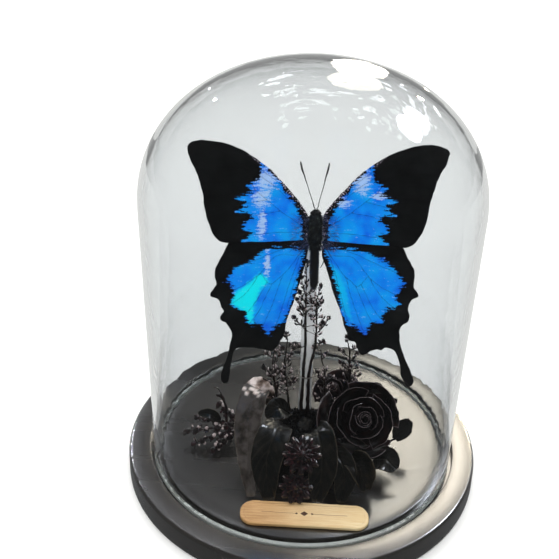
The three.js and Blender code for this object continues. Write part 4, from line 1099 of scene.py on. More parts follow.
def make_body():
    """Head, thorax and ringed abdomen, with eyes, palps, a coiled tongue and folded legs."""
    skin = Skin()
    sides = 32
    line = curve(BODY_PROFILE, 120)
    turn = full_turn(sides)
    abdomen = np.clip((-6.5 - line[:, 1]) / 1.5, 0, 1)
    groove = SEGMENT_GROOVE * abdomen * np.exp(-((np.mod(line[:, 1], SEGMENT_LENGTH) - 0.4) / 0.3) ** 2)
    radius = np.maximum(line[:, 0] - groove, 0.1)[:, None]
    skin.add(*loft(on_body(radius * np.sin(turn), line[:, 1:], radius * np.cos(turn))))
    for side in (-1, 1):
        across, along, lift = EYE_PLACE
        skin.add(*pod(on_body(side * across, along, lift), body_right * side, 2 * EYE_RADIUS, EYE_RADIUS,
                      ribs=1, cut=0, sides=24, rings=16, taper=0))
        palp = [on_body(side * 0.45, 6.9, 1.2), on_body(side * 0.5, 7.9, 1.5), on_body(side * 0.42, 8.4, 1.3)]
        skin.add(*tube(curve(palp, 8), np.linspace(0.34, 0.16, 8), 8))
    curl = np.linspace(0, TONGUE_TURNS * TAU, 60)
    reach = 0.75 - curl * 0.04
    coil = on_body(0, 6.6 + reach * np.sin(curl), 2.2 + reach * np.cos(curl))
    skin.add(*tube(coil, TONGUE_RADIUS, 6))
    for path in LEG_PATHS:
        knots = np.array([on_body(*place) for place in path])
        shares = np.linspace(0, 1, 26)
        joints = 0.16 + 0.12 * np.exp(-((shares - 0.5) / 0.06) ** 2) + 0.1 * (1 - shares)
        skin.add(*tube(curve_at(knots, shares), joints, 8))
        for index in range(LEG_SPURS):
            share = 0.3 + 0.05 * index
            spot = curve_at(knots, [share])[0]
            spur = spot + 0.45 * unit(np.array([scatter(index) - 0.5, scatter(index + 9) - 0.5, -0.4]))
            skin.add(*tube([spot, spur], [0.05, 0.015], 4))
    make_piece("cuticle_body", skin, cuticle, "butterfly_body")


ANTENNAE = {
    "antenna_left": [(-0.75, 8.3, 0.8), (-2, 12.4, 1.6), (-4, 18.2, 1.8), (-6, 24, 1.4), (-6.9, 27, 1)],
    "antenna_right": [(0.75, 8.3, 0.8), (1.6, 12.4, 1.6), (3, 18, 1.8), (4.5, 24, 1.4), (5.1, 26.9, 1)],
}
ANTENNA_RADII = [0.2, 0.15, 0.17, 0.4, 0.3]
ANTENNA_RINGS = 45


def make_antennae():
    """Two thin ringed feelers, each with a club that rounds off at its tip."""
    for name, path in ANTENNAE.items():
        shares = np.linspace(0, 1, 150)
        knots = np.array([on_body(*place) for place in path])
        radii = np.interp(shares, np.linspace(0, 1, 5), ANTENNA_RADII)
        radii *= 1 + 0.12 * np.sin(shares * ANTENNA_RINGS * TAU)
        radii[-5:] *= np.array([0.95, 0.85, 0.7, 0.5, 0.25])
        make_piece(name + "_ringed", Skin().add(*tube(curve_at(knots, shares), radii, 10)), cuticle,
                   name)


HAIR_DROOP = 0.35


def add_hairs(skin, roots, ways, lengths, width, dust):
    """Thin drooping blades, two faces each, from their roots along their ways."""
    droop = -HAIR_DROOP * body_up
    for root, way, length, dusty in zip(roots, ways, lengths, dust):
        side = unit(np.cross(way, body_front + 0.3 * way[::-1])) * width / 2
        middle = root + way * length * 0.55
        tip = root + unit(way + droop * 0.7) * length
        points = [root - side, root + side, middle + side * 0.7, middle - side * 0.7, tip]
        skin.add(points, [[0, 1, 2, 3], [3, 2, 4]], dust=dusty)


# Hair on the body: from where to where along it, how many, and how long.
HAIR_BANDS = [
    (-5.4, 3.8, 1700, 1.5), (2.4, 5.6, 900, 2.8), (-8.6, -2.6, 1100, 2.1), (4.2, 7.6, 420, 0.8),
    (-25, -6, 1300, 0.55),
]
WING_ROOT_HAIRS = 420
BODY_HAIR_WIDTH, WING_HAIR_WIDTH = 0.11, 0.1


def make_hairs():
    """Hair on the head, thorax and abdomen, and longer dusted hair at the wing roots."""
    draw = np.random.default_rng(11)
    skin = Skin()
    for low, high, count, reach in HAIR_BANDS:
        along = draw.uniform(low, high, count)
        turn = draw.uniform(0, TAU, count)
        girth = body_girth(along)
        roots = on_body(girth * np.sin(turn) * 0.96, along, girth * np.cos(turn) * 0.96)
        out = np.sin(turn)[:, None] * body_right + np.cos(turn)[:, None] * body_front
        ways = unit(out * 0.8 - body_up * 0.75 + draw.normal(0, 0.25, (count, 3)))
        lengths = reach * draw.uniform(0.6, 1.2, count)
        add_hairs(skin, roots, ways, lengths, BODY_HAIR_WIDTH, 0.1 * draw.random(count))
    for side in (-1, 1):
        count = WING_ROOT_HAIRS
        span = 2.2 + 7 * draw.random(count) ** 2
        along = draw.uniform(-9, 5, count)
        roots = on_wing(side, span, along, 0.25)
        outward = body_right * side
        ways = unit(outward * 0.9 + body_up * ((along + 2) * 0.09)[:, None] + body_front * 0.12
                    + draw.normal(0, 0.16, (count, 3)))
        lengths = draw.uniform(1.2, 3.2, count)
        add_hairs(skin, roots, ways, lengths, WING_HAIR_WIDTH, draw.uniform(0.2, 1, count))
    make_piece("body_hair", skin, hair)


# ---- plants ----

def wavy_surface(surface, amount, size, seed):
    """Adds a ripple that grows towards the far rim."""
    def rippled(u, v):
        grid = surface(u, v)
        strength = amount * (0.25 + 0.75 * v**2) * (0.4 + 0.6 * np.abs(u))
        return grid + facing_of(grid) * (strength * ripple(grid, size, seed))[..., None]
    return rippled


# Each spray's stem as the knots of its curve, its thickness, the share of it that carries a tuft,
# and its twigs: listed as (share along the stem, tip), or as many as given, evenly round it.
SPRAYS = {
    "spray_tall_left": dict(
        path=[(-0.8, -1.6, 12), (-0.3, -1.5, 46), (0, -1.4, 62), (-0.2, -1.3, 74), (-0.5, -1.4, 84),
              (-0.6, -1.8, 93)],
        thick=0.62, tuft=(0.55, 0.98),
        tips=[(0.42, -5.4, -2, 62), (0.58, -5.6, -1.2, 78), (0.7, -4.6, -1.4, 87.5), (0.74, -1.8, -3.4, 84),
              (0.84, -3.6, -1.6, 91), (0.9, -2.9, -2.4, 98.5), (0.97, -0.9, -2.6, 106.5)],
    ),
    "spray_tall_right": dict(
        path=[(2.8, -1.6, 12), (2.4, -1.5, 46), (4, -1.4, 60), (4.8, -1.3, 70), (4.4, -1.4, 80),
              (3.8, -1.8, 88)],
        thick=0.6, tuft=(0.55, 0.98),
        tips=[(0.5, 8.4, -2, 66), (0.6, 9.8, -1.2, 78.5), (0.66, 7.4, -1.6, 76), (0.74, 1.9, -2.4, 80),
              (0.86, 6.6, -1.4, 87), (0.97, 5.6, -2, 95)],
    ),
    "spray_left_inner": dict(path=[(-5, 4.6, 12), (-7.4, 4.6, 32), (-9, 4.4, 48), (-8.2, 4.2, 63)],
                             thick=0.5, twigs=7, reach=6.5, tuft=(0.3, 0.62)),
    "spray_left_outer": dict(path=[(-9.5, 3, 12), (-12.4, 3.6, 32), (-14.8, 4, 47), (-13.4, 4, 60)],
                             thick=0.5, twigs=7, reach=6.5, tuft=(0.3, 0.62)),
    "spray_right_inner": dict(path=[(7.6, -2.8, 12), (9.8, -1.4, 34), (9.2, 0.6, 47), (7, 1.6, 60)],
                              thick=0.5, twigs=5, reach=5.5, tuft=(0.3, 0.62)),
    "spray_right_outer": dict(path=[(19.5, 22, 12), (22, 14, 32), (21.6, 11, 46), (20.2, 10, 58)],
                              thick=0.55, twigs=7, reach=7.5, tuft=(0.3, 0.62)),
}
BUD_RADIUS = 0.95
BUD_SCALES = 5
BUD_SCALE_GIRTH = np.array([0.14, 0.26, 0.3, 0.24, 0.14, 0.04])        # radius over the bud's
TWIG_LEAN = math.radians(52)
TWIGS_FROM, TWIGS_OVER = 0.42, 0.56              # the share of the stem that twigs leave from
FLORETS_ON_TWIG = 8
TUFT_FLORETS = 34
FLORET_SIDES = 7
FLORET_GIRTH = np.array([0.07, 0.11, 0.17, 0.2, 0.19, 0.13, 0.03])     # radius over length


def twigs_of(spray):
    """The twigs of a spray as (where they leave the stem, their tip)."""
    path = np.array(spray["path"], float)
    if "tips" in spray:
        return [(curve_at(path, [share])[0], np.array(tip, float)) for share, *tip in spray["tips"]]
    twigs = []
    for index in range(spray["twigs"]):
        share = TWIGS_FROM + TWIGS_OVER * index / (spray["twigs"] - 1)
        start = curve_at(path, [share])[0]
        along = curve_along(path, [share])[0]
        turn = index * GOLDEN_ANGLE
        side = np.array([math.cos(turn), 0.6 * math.sin(turn), 0])
        length = spray["reach"] * (1.25 - 0.6 * share) * (0.8 + 0.4 * scatter(index))
        tip = start + along * length * math.cos(TWIG_LEAN) + side * length * math.sin(TWIG_LEAN)
        twigs.append((start, tip))
    return twigs


def on_rings(values, sides):
    """Spreads one value for each ring of a loft over all of its points."""
    return np.concatenate([np.repeat(values, sides), [values[0], values[-1]]])


def add_floret(skin, foot, way, length, pale_tip_and_glint):
    """A slim dried floret that leaves its twig sideways and bends upwards to a pale tip."""
    lift = np.array([0, 0, 0.35]) * length
    path = np.array([foot, foot + way * length * 0.5, foot + way * length * 0.8 + lift])
    shares = np.linspace(0, 1, len(FLORET_GIRTH))
    points, faces = tube(curve_at(path, shares), length * FLORET_GIRTH, FLORET_SIDES)
    skin.add(points, faces, tip=pale_tip_and_glint * on_rings(np.clip(shares * 3 - 1.8, 0, 1), FLORET_SIDES))


def add_bud(skin, tip, along, size, seed):
    """A small dried bud with pointed scales round it."""
    draw = np.random.default_rng(seed)
    skin.add(*pod(tip, along, size * 2.5, size, ribs=BUD_SCALES, cut=0.25, sides=20, rings=10))
    right, back, up = axes_of(along)
    for index in range(BUD_SCALES):
        turn = TAU * (index + draw.random() * 0.5) / BUD_SCALES
        way = right * math.cos(turn) + back * math.sin(turn)
        low = tip - up * size * 1.1 + way * size * 0.4
        path = [low, low + (way * 0.5 + up * 0.7) * size, low + (way * 0.75 + up * 1.7) * size]
        skin.add(*tube(curve(path, 6), size * BUD_SCALE_GIRTH, 6))


def make_spray(name, spray, seed):
    """A branching dried stem, the florets along its twigs and a tuft of them lower down."""
    stems, buds = Skin(), Skin()
    path = np.array(spray["path"], float)
    shares = np.linspace(0, 1, 60)
    points = curve_at(path, shares)
    points[0, 2] = PLATEAU_REST
    points += 0.12 * np.column_stack([ripple(points, 9, seed), ripple(points, 7, seed + 1), 0 * shares])
    radii = spray["thick"] * (1.45 - shares) * (1 + 0.1 * ripple(points, 2.5, seed))
    stems.add(*tube(points, radii, 10))
    draw = np.random.default_rng(seed)
    for start, tip in twigs_of(spray):
        along = unit(tip - start)
        length = np.linalg.norm(tip - start)
        bend = (start + tip) / 2 + np.array([0, 0, -0.1]) * length
        line = np.array([start, bend, tip])
        stems.add(*tube(curve(line, 14), np.linspace(0.26, 0.16, 14), 7))
        add_bud(buds, tip, along, BUD_RADIUS * draw.uniform(0.8, 1.0), int(draw.integers(1e6)))
        for index in range(FLORETS_ON_TWIG):
            spot = curve_at(line, [0.3 + 0.68 * index / FLORETS_ON_TWIG])[0]
            way = unit(along * 0.6 + 0.9 * unit(draw.normal(size=3)) + [0, 0, 0.3])
            add_floret(buds, spot, way, draw.uniform(1.6, 2.7), draw.uniform(-0.5, 1) > 0)
    for _ in range(TUFT_FLORETS):
        spot = curve_at(path, [draw.uniform(*spray["tuft"])])[0]
        way = unit(unit(draw.normal(size=3)) * [1, 0.7, 0.4] + [0, 0, 0.5])
        end = spot + way * draw.uniform(1.2, 4.2)
        stems.add(*tube([spot, (spot + end) / 2 + [0, 0, 0.2], end], [0.16, 0.13, 0.1], 5))
        add_floret(buds, end, way, draw.uniform(1.6, 2.9), draw.uniform(-0.7, 1) > 0)
    make_piece(name + "_stems", stems, twig_bark, name)
    make_piece(name + "_buds", buds, pod_skin)


# Leaves as name, midrib, width, the way they face, how far they cup, and where the stalk stands.
LEAVES = [
    ("leaf_left_drooping", [(-14, 3, 27), (-21, -1, 37.5), (-24, -20, 29), (-20.5, -45, 12.8)], 13,
     (-0.2, -0.6, 0.75), 0.25, (-11, 1)),
    ("leaf_front_left", [(-8, -12, 27), (-11, -24, 33), (-14.4, -37, 26), (-12.5, -46.5, 12.8)], 15,
     (-0.1, -0.7, 0.7), 0.2, (-7, -9)),
    ("leaf_front_middle", [(5, -14, 27), (7.6, -26, 33.5), (9.6, -38, 25), (8, -46, 12.8)], 14,
     (0, -0.7, 0.7), 0.2, (4, -10)),
    ("leaf_front_right", [(13, -22, 22), (17, -32, 26), (19.6, -39, 20.5), (18, -45.5, 12.8)], 11,
     (0.1, -0.7, 0.7), 0.2, (11, -17)),
    ("leaf_right_rolled", [(22, -29, 24), (26, -34.4, 23.5), (29.6, -38.4, 14)], 11,
     (0.2, -0.8, 0.5), 0.8, (20, -24)),
    ("leaf_right_dark", [(33, -21.5, 17), (38, -26.6, 21.5), (42.6, -30, 19)], 12,
     (0.2, -0.6, 0.75), 0.15, (31, -18)),
    ("leaf_right_round", [(43.4, -10, 19.6), (46.8, -8, 24.4), (50, -6.6, 28.6)], 8.6,
     (0.1, -0.85, 0.5), 0.1, (40, -8)),
    ("leaf_right_top", [(29.6, -1, 39.2), (33.6, -1, 41.4), (37.4, -1, 40)], 5.4,
     (0, -0.7, 0.7), 0.2, (27, 8)),
    ("leaf_right_small", [(36.5, 0, 31), (40, -1.6, 34.6), (43.8, -2, 35.6)], 5.4,
     (0, -0.7, 0.7), 0.2, (34, 5)),
    ("leaf_left_slender", [(-38.6, -5, 21), (-43, -6, 25.6), (-48.5, -6.6, 26)], 5,
     (0, -0.6, 0.8), 0.3, (-33, -1)),
    ("leaf_left_high", [(-6, -6, 28.6), (-10.6, -10.4, 34), (-16, -15, 32.2)], 11,
     (0.1, -0.5, 0.85), 0.22, (-5, -5.6)),
]
STALK_RADIUS, STALK_END_RADIUS = 0.55, 0.36
SIDE_VEINS = 9
LEAF_WAVE, LEAF_WAVE_SIZE = 0.55, 6              # how deep a leaf ripples, and over what length
MIDRIB_DEPTH, SIDE_VEIN_DEPTH = 0.25, 0.12


def vein_distance(u, v):
    """How far a place on a leaf is from its midrib or a side vein, as a share."""
    slanted = np.mod(v * SIDE_VEINS - np.abs(u) * 2.2, 1)
    side = np.abs(slanted - 0.5) * 2
    return np.minimum(1 - side, np.abs(u) * 9)


def leaf_surface(rib, width, face, cup):
    """A cupped blade along its midrib, with the midrib and side veins sunk into its face."""
    rib = np.array(rib, float)
    face = unit(face)

    def surface(u, v):
        along = curve_along(rib, v)
        side = unit(np.cross(along, face))
        up = unit(np.cross(side, along))
        half = width / 2 * (0.14 + 0.86 * np.sin(math.pi * (0.04 + 0.93 * v)) ** 0.8)
        crease = MIDRIB_DEPTH * np.exp(-(u / 0.08) ** 2)
        crease += SIDE_VEIN_DEPTH * np.exp(-(vein_distance(u, v) / 0.25) ** 2)
        return (curve_at(rib, v) + side * (u * half)[..., None]
                + up * (cup * half * u * u - crease)[..., None])
    return surface


PAINTED_GLEAM_LEAF = "leaf_left_drooping"
PAINTED_GLEAM_BLADE = 0.055             # how much painted pale tone lies over the rest of that leaf
CREST_START, CREST_END = 0.12, 0.38      # where along the blade the painted highlight on its crumpled crest lies


def make_leaf(name, rib, width, face, cup, foot, seed):
    """A rippled leaf on a stalk that stands on the base's top."""
    surface = wavy_surface(leaf_surface(rib, width, face, cup), LEAF_WAVE, LEAF_WAVE_SIZE, seed)
    points, faces, values = sheet(surface, 40, 56, LEAF_THICKNESS * 0.75)
    values["vein"] = vein_distance(values["across"], values["along"])
    # A painted highlight on the crest of this one leaf, with a faint painted pale tone over the rest.
    if name == PAINTED_GLEAM_LEAF:
        middle = (CREST_START + CREST_END) / 2
        reach = np.abs(values["along"] - middle) / (CREST_END - middle) + 0.6 * ripple(points, 3.5, seed)
        values["faded"] = np.clip(2.6 - 2.6 * reach, PAINTED_GLEAM_BLADE, 1)
    skin = Skin().add(points, faces, **values)
    root = np.array(rib[0], float)
    inside = root + (np.array(rib[1], float) - root) * 0.12
    ground = np.array([foot[0], foot[1], PLATEAU_REST])
    bend = (ground + root) / 2 + [0, 0, 2]
    line = curve([ground, bend, root, inside], 24)
    skin.add(*tube(line, np.linspace(STALK_RADIUS, STALK_END_RADIUS, 24), 10), vein=1.0, rim=1.0)
    make_piece(name + "_blade", skin, leaf_skin, name)


# Roses: where the mouth of each lies and faces, its radius and depth, how far the young petals
# rise above the mouth, the number of petals, the first one's turn, and where the stem stands.
ROSES = [
    dict(name="rose_front", centre=(27, -14.6, 33), axis=(0.16, -0.68, 0.72), reach=17.5, depth=15,
         lift=4, petals=10, turn=0.4, foot=(22, 3)),
    dict(name="rose_back", centre=(14.5, 11, 29), axis=(-0.1, -0.3, 0.95), reach=11.5, depth=11,
         lift=3, petals=6, turn=1.9, foot=(14, 13)),
]
PETAL_START = math.radians(13)
PETAL_WAVE, PETAL_WAVE_SIZE = 0.55, 7
HEART_PETALS = 5
HEART_PETAL_HALF_TURN = math.radians(105)
SEPALS = 5
ROSE_STEM_RADIUS = 0.9
CALYX_PROFILE = [(0.8, -5), (2.4, -3.4), (3, -1.4), (2.2, 0)]


def petal_surface(rose, index):
    """One petal's bowl: the first petals stand up round the heart, the last lie open and curl."""
    share = (index + 1) / rose["petals"]
    at = around(rose["centre"], rose["axis"])
    reach = rose["reach"] * (0.26 + 0.74 * share)
    depth = rose["depth"] * (0.7 + 0.3 * share)
    lift = rose["lift"] * (1 - share)
    middle = rose["turn"] + index * GOLDEN_ANGLE
    half_turn = math.radians(82 - 26 * share)
    rim_angle = math.radians(112 - 22 * share)
    flare = 2.6 * share * share
    phase = index * 1.7

    def surface(u, v):
        rim = rim_angle - 0.32 * u * u + 0.05 * np.sin(5 * u + phase)
        bowl = PETAL_START + (rim - PETAL_START) * v
        opening = np.maximum(v - 0.6, 0) / 0.4
        curl = np.maximum(v - 0.88, 0) / 0.12
        radius = reach * np.sin(bowl) + flare * opening**2 + 0.5 * share * curl
        width = half_turn * (0.4 + 0.6 * np.sin(np.minimum(bowl, math.pi / 2)))
        height = lift - depth * np.cos(bowl) - 0.7 * share * curl**2
        return at(radius, middle + u * width, height)
    return surface


def make_rose_heart(rose):
    """Young petals wound tightly round each other in the middle of the rose."""
    at = around(rose["centre"], rose["axis"])
    reach = rose["reach"] * (0.26 + 0.74 / rose["petals"]) - 0.8
    low = -rose["depth"] * (0.7 + 0.3 / rose["petals"]) + rose["lift"] + 1.4
    top = rose["lift"] + 3
    skin = Skin()
    for index in range(HEART_PETALS):
        share = (index + 1) / HEART_PETALS
        middle = 1.1 + index * GOLDEN_ANGLE

        def surface(u, v, share=share, middle=middle):
            belly = np.interp(v, [0, 0.12, 0.4, 0.7, 1], [0.35, 0.7, 1, 0.98, 0.78])
            spiral = reach * (0.2 + 0.72 * share) * belly * (1 - 0.1 * u)
            height = low + (top - low) * v * (1 - 0.1 * share - 0.08 * u * u)
            return at(spiral, middle + u * HEART_PETAL_HALF_TURN, height)
        points, faces, values = sheet(wavy_surface(surface, 0.25, 4, 70 + index), 30, 22, 0.4)
        skin.add(points, faces, **values)
    make_piece(rose["name"] + "_young_petals", skin, petal_skin, rose["name"] + "_heart")


def make_calyx(rose):
    """The rose's cup, its five sepals and its stem down to the base's top."""
    at = around(rose["centre"], rose["axis"])
    top = -rose["depth"] - PETAL_THICKNESS / 2 - 0.35
    turn = full_turn(40)
    line = curve(CALYX_PROFILE, 20)
    radius = line[:, :1] * (1 - 0.06 * np.cos(SEPALS * turn))
    skin = Skin().add(*loft(at(radius, turn, top + line[:, 1:])), rim=1.0, vein=1.0)
    for index in range(SEPALS):
        middle = index * TAU / SEPALS + 0.3

        def surface(u, v, middle=middle):
            bowl = 0.2 + 0.75 * v
            reach = rose["depth"] * 0.72
            width = 0.45 * (1 - v) ** 0.7 / np.maximum(np.sin(bowl), 0.2) * 0.5
            return at(reach * np.sin(bowl) + 0.6, middle + u * width,
                      top - 1.2 + rose["depth"] * 0.5 * (1 - np.cos(bowl)))
        points, faces, values = sheet(surface, 8, 18, 0.35)
        skin.add(points, faces, vein=1.0, **values)
    foot = np.array([*rose["foot"], PLATEAU_REST])
    neck = at(0, 0, top - 3)
    low = at(0, 0, top - 6)
    bend = (low + np.array([*rose["foot"], low[2]])) / 2
    path = curve([foot, bend, neck], 26)
    skin.add(*tube(path, ROSE_STEM_RADIUS * (1 + 0.06 * ripple(path, 3, 3)), 12), rim=1.0, vein=1.0)
    make_piece(rose["name"] + "_sepals", skin, leaf_skin, rose["name"] + "_calyx")


def make_rose(rose, seed):
    """A rose: its heart, its open petals one by one, and its calyx."""
    make_rose_heart(rose)
    for index in range(rose["petals"]):
        surface = wavy_surface(petal_surface(rose, index), PETAL_WAVE, PETAL_WAVE_SIZE, seed + index)
        points, faces, values = sheet(surface, 52, 34, PETAL_THICKNESS * 0.8)
        name = f"{rose['name']}_petal_{index + 1:02d}"
        make_piece(name + "_skin", Skin().add(points, faces, **values), petal_skin, name)
    make_calyx(rose)


# Seed heads as name, centre, radius, number of pleats, and where the stem stands.
SEED_HEADS = [
    ("seed_head_upper", (0.7, -35.5, 29), 8.6, 12, (0.5, -32)),
    ("seed_head_lower", (-1.2, -42.8, 17.4), 7.4, 10, (-1, -38)),
]
SEED_HEAD_AXIS = (0, -0.62, 0.78)
# (radius, height, depth of the pleats), as shares of the head's radius.
SEED_HEAD_PROFILE = [
    (0.3, -0.34, 0), (0.66, -0.16, 0.1), (1, 0.16, 0.3), (0.8, 0.26, 0.24), (0.56, 0.2, 0.2),
    (0.4, 0.38, 0.15), (0.16, 0.42, 0),
]
SEED_RIB_LINE = [(0.34, 0.42), (0.55, 0.3), (0.78, 0.31), (0.97, 0.2)]
SEED_STEM_RADIUS = 0.8


def make_seed_head(name, centre, radius, pleats, foot):
    """A dried poppy-like head: rounded pleats round a low dome, with a ribbed crown."""
    at = around(centre, SEED_HEAD_AXIS)
    profile = curve(SEED_HEAD_PROFILE, 44)
    turn = full_turn(pleats * 14)
    fold = 1 - np.abs(np.cos(pleats * turn / 2)) ** 0.8
    rings = radius * profile[:, :1] * (1 - np.clip(profile[:, 2:], 0, 1) * fold[None])
    lift = radius * (profile[:, 1:2] - 0.05 * fold[None] * (profile[:, 2:] > 0.05))
    skin = Skin().add(*loft(at(rings, turn, lift)))
    for index in range(pleats):
        side = index * TAU / pleats
        rib = [at(radius * reach, side, radius * height) for reach, height in SEED_RIB_LINE]
        points, faces = tube(curve(rib, 12), np.linspace(0.3, 0.22, 12), 8)
        # Painted highlights: the outer ends of the ribs are painted pale, stronger on one side, as where
        # light catches them.
        painted_rib_glint = np.clip(np.linspace(-2.4, 1, 12), 0, 1) * (0.5 + 0.5 * math.sin(side))
        skin.add(points, faces, tip=on_rings(painted_rib_glint, 8))
    skin.add(*pod(at(0, 0, radius * 0.44), SEED_HEAD_AXIS, radius * 0.3, radius * 0.24, ribs=pleats,
                  cut=0.3, sides=pleats * 6, rings=12))
    root = at(0, 0, -radius * 0.2)
    ground = np.array([*foot, PLATEAU_REST])
    path = curve([ground, (ground + root) / 2, root], 16)
    skin.add(*tube(path, SEED_STEM_RADIUS, 10))
    make_piece(name + "_pleated", skin, pod_skin, name)


# A stem from the moss to a fork, and the tips of the branches that leave the fork.
BERRY_ROOT = [(-13, -3, PLATEAU_REST), (-20, -4, 15.5), (-27, -4.6, 18.5)]
BERRY_TIPS = [
    (-54, -9, 17), (-50, -14, 14), (-40, -17, 13.6), (-50, -2.4, 20.5), (-40, 2.5, 24.5), (-29, 1.6, 27),
]
BERRY_RADIUS = 1.9
BERRIES_ON_BRANCH = 5
SMALL_BERRIES = 6               # beside each berry; every third has a painted highlight
# How strong that painted highlight is.
BERRY_GLINT = 0.8


def make_berry_spray():
    """A fan of branches with shrivelled berries, and smaller ones between them."""
    skin = Skin()
    fork = np.array(BERRY_ROOT[-1], float)
    shares = np.linspace(0, 1, 24)
    skin.add(*tube(curve_at(BERRY_ROOT, shares), 0.75 - 0.2 * shares, 10))
    draw = np.random.default_rng(23)
    for branch, place in enumerate(BERRY_TIPS):
        tip = np.array(place, float)
        along = unit(tip - fork)
        line = np.array([fork, fork + (tip - fork) * 0.5 + [0, 0, 0.5], tip])
        skin.add(*tube(curve_at(line, shares), 0.42 - 0.2 * shares, 8))
        for index in range(BERRIES_ON_BRANCH):
            share = 0.3 + 0.7 * index / (BERRIES_ON_BRANCH - 1)
            size = BERRY_RADIUS * (0.8 + 0.3 * scatter(branch * 7 + index)) * 0.86
            centre = fork + (tip - fork) * share
            way = unit(along + 0.5 * draw.normal(size=3))
            skin.add(*pod(centre, way, size * 2.2, size, ribs=7, cut=0.14, sides=28, rings=14, taper=0.35))
            skin.add(*pod(centre + way * size * 1.05, way, size * 0.5, size * 0.22, ribs=5, cut=0.4,
                          sides=10, rings=6))
            for small_one in range(SMALL_BERRIES):
                off = unit(draw.normal(size=3) + [0, 0, 0.4])
                spot = centre - along * draw.uniform(0.5, 4.2) + off * size * draw.uniform(0.9, 1.5)
                small = draw.uniform(0.5, 0.95)
                skin.add(*tube([centre - along * 1.5, spot], [0.12, 0.1], 5))
                skin.add(*pod(spot, off, small * 2.2, small, ribs=6, cut=0.16, sides=16, rings=9),
                         tip=BERRY_GLINT if small_one % 3 == 0 else 0.0)
    make_piece("berry_spray_fruit", skin, pod_skin, "berry_spray")


MOUND_CENTRE = (1.5, -13)
MOUND_HALF_WIDTH = 17.0
MOUND_HALF_DEPTH = 24.0
MOUND_HEIGHT = 17.0
MOUND_LEVELS = [(1, 0), (0.98, 0.25), (0.82, 0.62), (0.5, 0.9), (0.18, 1)]      # (reach, height) as shares
MOUND_RINGS = 40
MOSS_LEAVES = 8200


def make_mound():
    """A clump of dyed moss: a lumpy bed covered with small pointed leaves."""
    sides = 96
    levels = curve(MOUND_LEVELS, MOUND_RINGS)
    turn = full_turn(sides)
    rings = np.stack([
        MOUND_CENTRE[0] + MOUND_HALF_WIDTH * levels[:, :1] * np.cos(turn),
        MOUND_CENTRE[1] + MOUND_HALF_DEPTH * levels[:, :1] * np.sin(turn),
        PLATEAU_REST + MOUND_HEIGHT * levels[:, 1:] + 0 * turn,
    ], axis=-1)
    middle = np.array([*MOUND_CENTRE, PLATEAU_REST])
    lumps = 1 + 0.035 * ripple(rings, 7, 41) + 0.02 * ripple(rings, 2.6, 42)
    rings = middle + (rings - middle) * lumps[..., None]
    rings[..., 2] = np.maximum(rings[..., 2], PLATEAU_REST)
    skin = Skin().add(*loft(rings))
    draw = np.random.default_rng(43)
    for _ in range(MOSS_LEAVES):
        level, side = draw.integers(1, MOUND_RINGS - 1), draw.integers(0, sides)
        root = rings[level, side]
        out = unit(root - middle + [0, 0, 2])
        way = unit(out + 0.8 * draw.normal(size=3))
        flat = unit(np.cross(way, draw.normal(size=3))) * draw.uniform(0.14, 0.3)
        length = draw.uniform(0.7, 1.7)
        points = [root - out * 0.2, root + way * length * 0.5 + flat, root + way * length,
                  root + way * length * 0.5 - flat]
        skin.add(np.maximum(points, [-99, -99, PLATEAU_REST]), [[0, 1, 2], [0, 2, 3]])
    make_piece("moss_clump", skin, moss, "moss_mound")


# Both as the knots of their curves.
CURLED_STEM = [(-33, -6.5, 12), (-35.4, -4.4, 20), (-36, -2.6, 27), (-38, -1, 32.4), (-41, -1, 33)]
TENDRIL = [(-36, -2.6, 27), (-37.6, -2.4, 33), (-39.6, -2.2, 37.4), (-41.6, -2.2, 38.4)]


def make_curled_stem():
    """A thick dried stem that curls over at its top, with a thin tendril above it."""
    shares = np.linspace(0, 1, 60)
    path = curve_at(CURLED_STEM, shares)
    path[0, 2] = PLATEAU_REST
    radii = (0.5 + 0.48 * shares) * np.clip((1.02 - shares) / 0.08, 0.2, 1)
    skin = Skin().add(*tube(path, radii, 14))
    skin.add(*tube(curve_at(TENDRIL, shares), 0.42 - 0.25 * shares, 10))
    make_piece("curled_tendrils", skin, pod_skin, "curled_stem")


# ---- floor, lights and camera ----

FLOOR_HALF = 3.0                # metres, as all sizes from here on


def make_floor():
    """A plain studio floor, kept out of mirrored images so that it veils nothing behind the glass."""
    corners = [(x * FLOOR_HALF, y * FLOOR_HALF, 0) for x, y in ((-1, -1), (1, -1), (1, 1), (-1, 1))]
    mesh = bpy.data.meshes.new("studio_floor")
    mesh.from_pydata(corners, [], [[0, 1, 2, 3]])
    mesh.materials.append(floor_paint)
    floor = bpy.data.objects.new("studio_floor", mesh)
    bpy.context.scene.collection.objects.link(floor)
    floor.visible_glossy = False


# The kinds of ray that miss a lamp. Rays that go through the glass see none of them.
EVEN_LIGHT = ("camera", "transmission", "glossy")
HIGHLIGHT = ("camera", "transmission", "diffuse")


def make_lamp(name, place, aim, size, watts, colour, missed_by):
    """A soft round lamp that shines from its place towards a point."""
    lamp = bpy.data.lights.new(name, "AREA")
    lamp.shape = "ELLIPSE"
    lamp.size, lamp.size_y = size
    lamp.energy = watts
    lamp.color = linear(colour)[:3]
    holder = bpy.data.objects.new(name, lamp)
    holder.location = place
    holder.rotation_euler = (Vector(aim) - Vector(place)).to_track_quat("-Z", "Y").to_euler()
    for ray in missed_by:
        setattr(holder, "visible_" + ray, False)
    bpy.context.scene.collection.objects.link(holder)


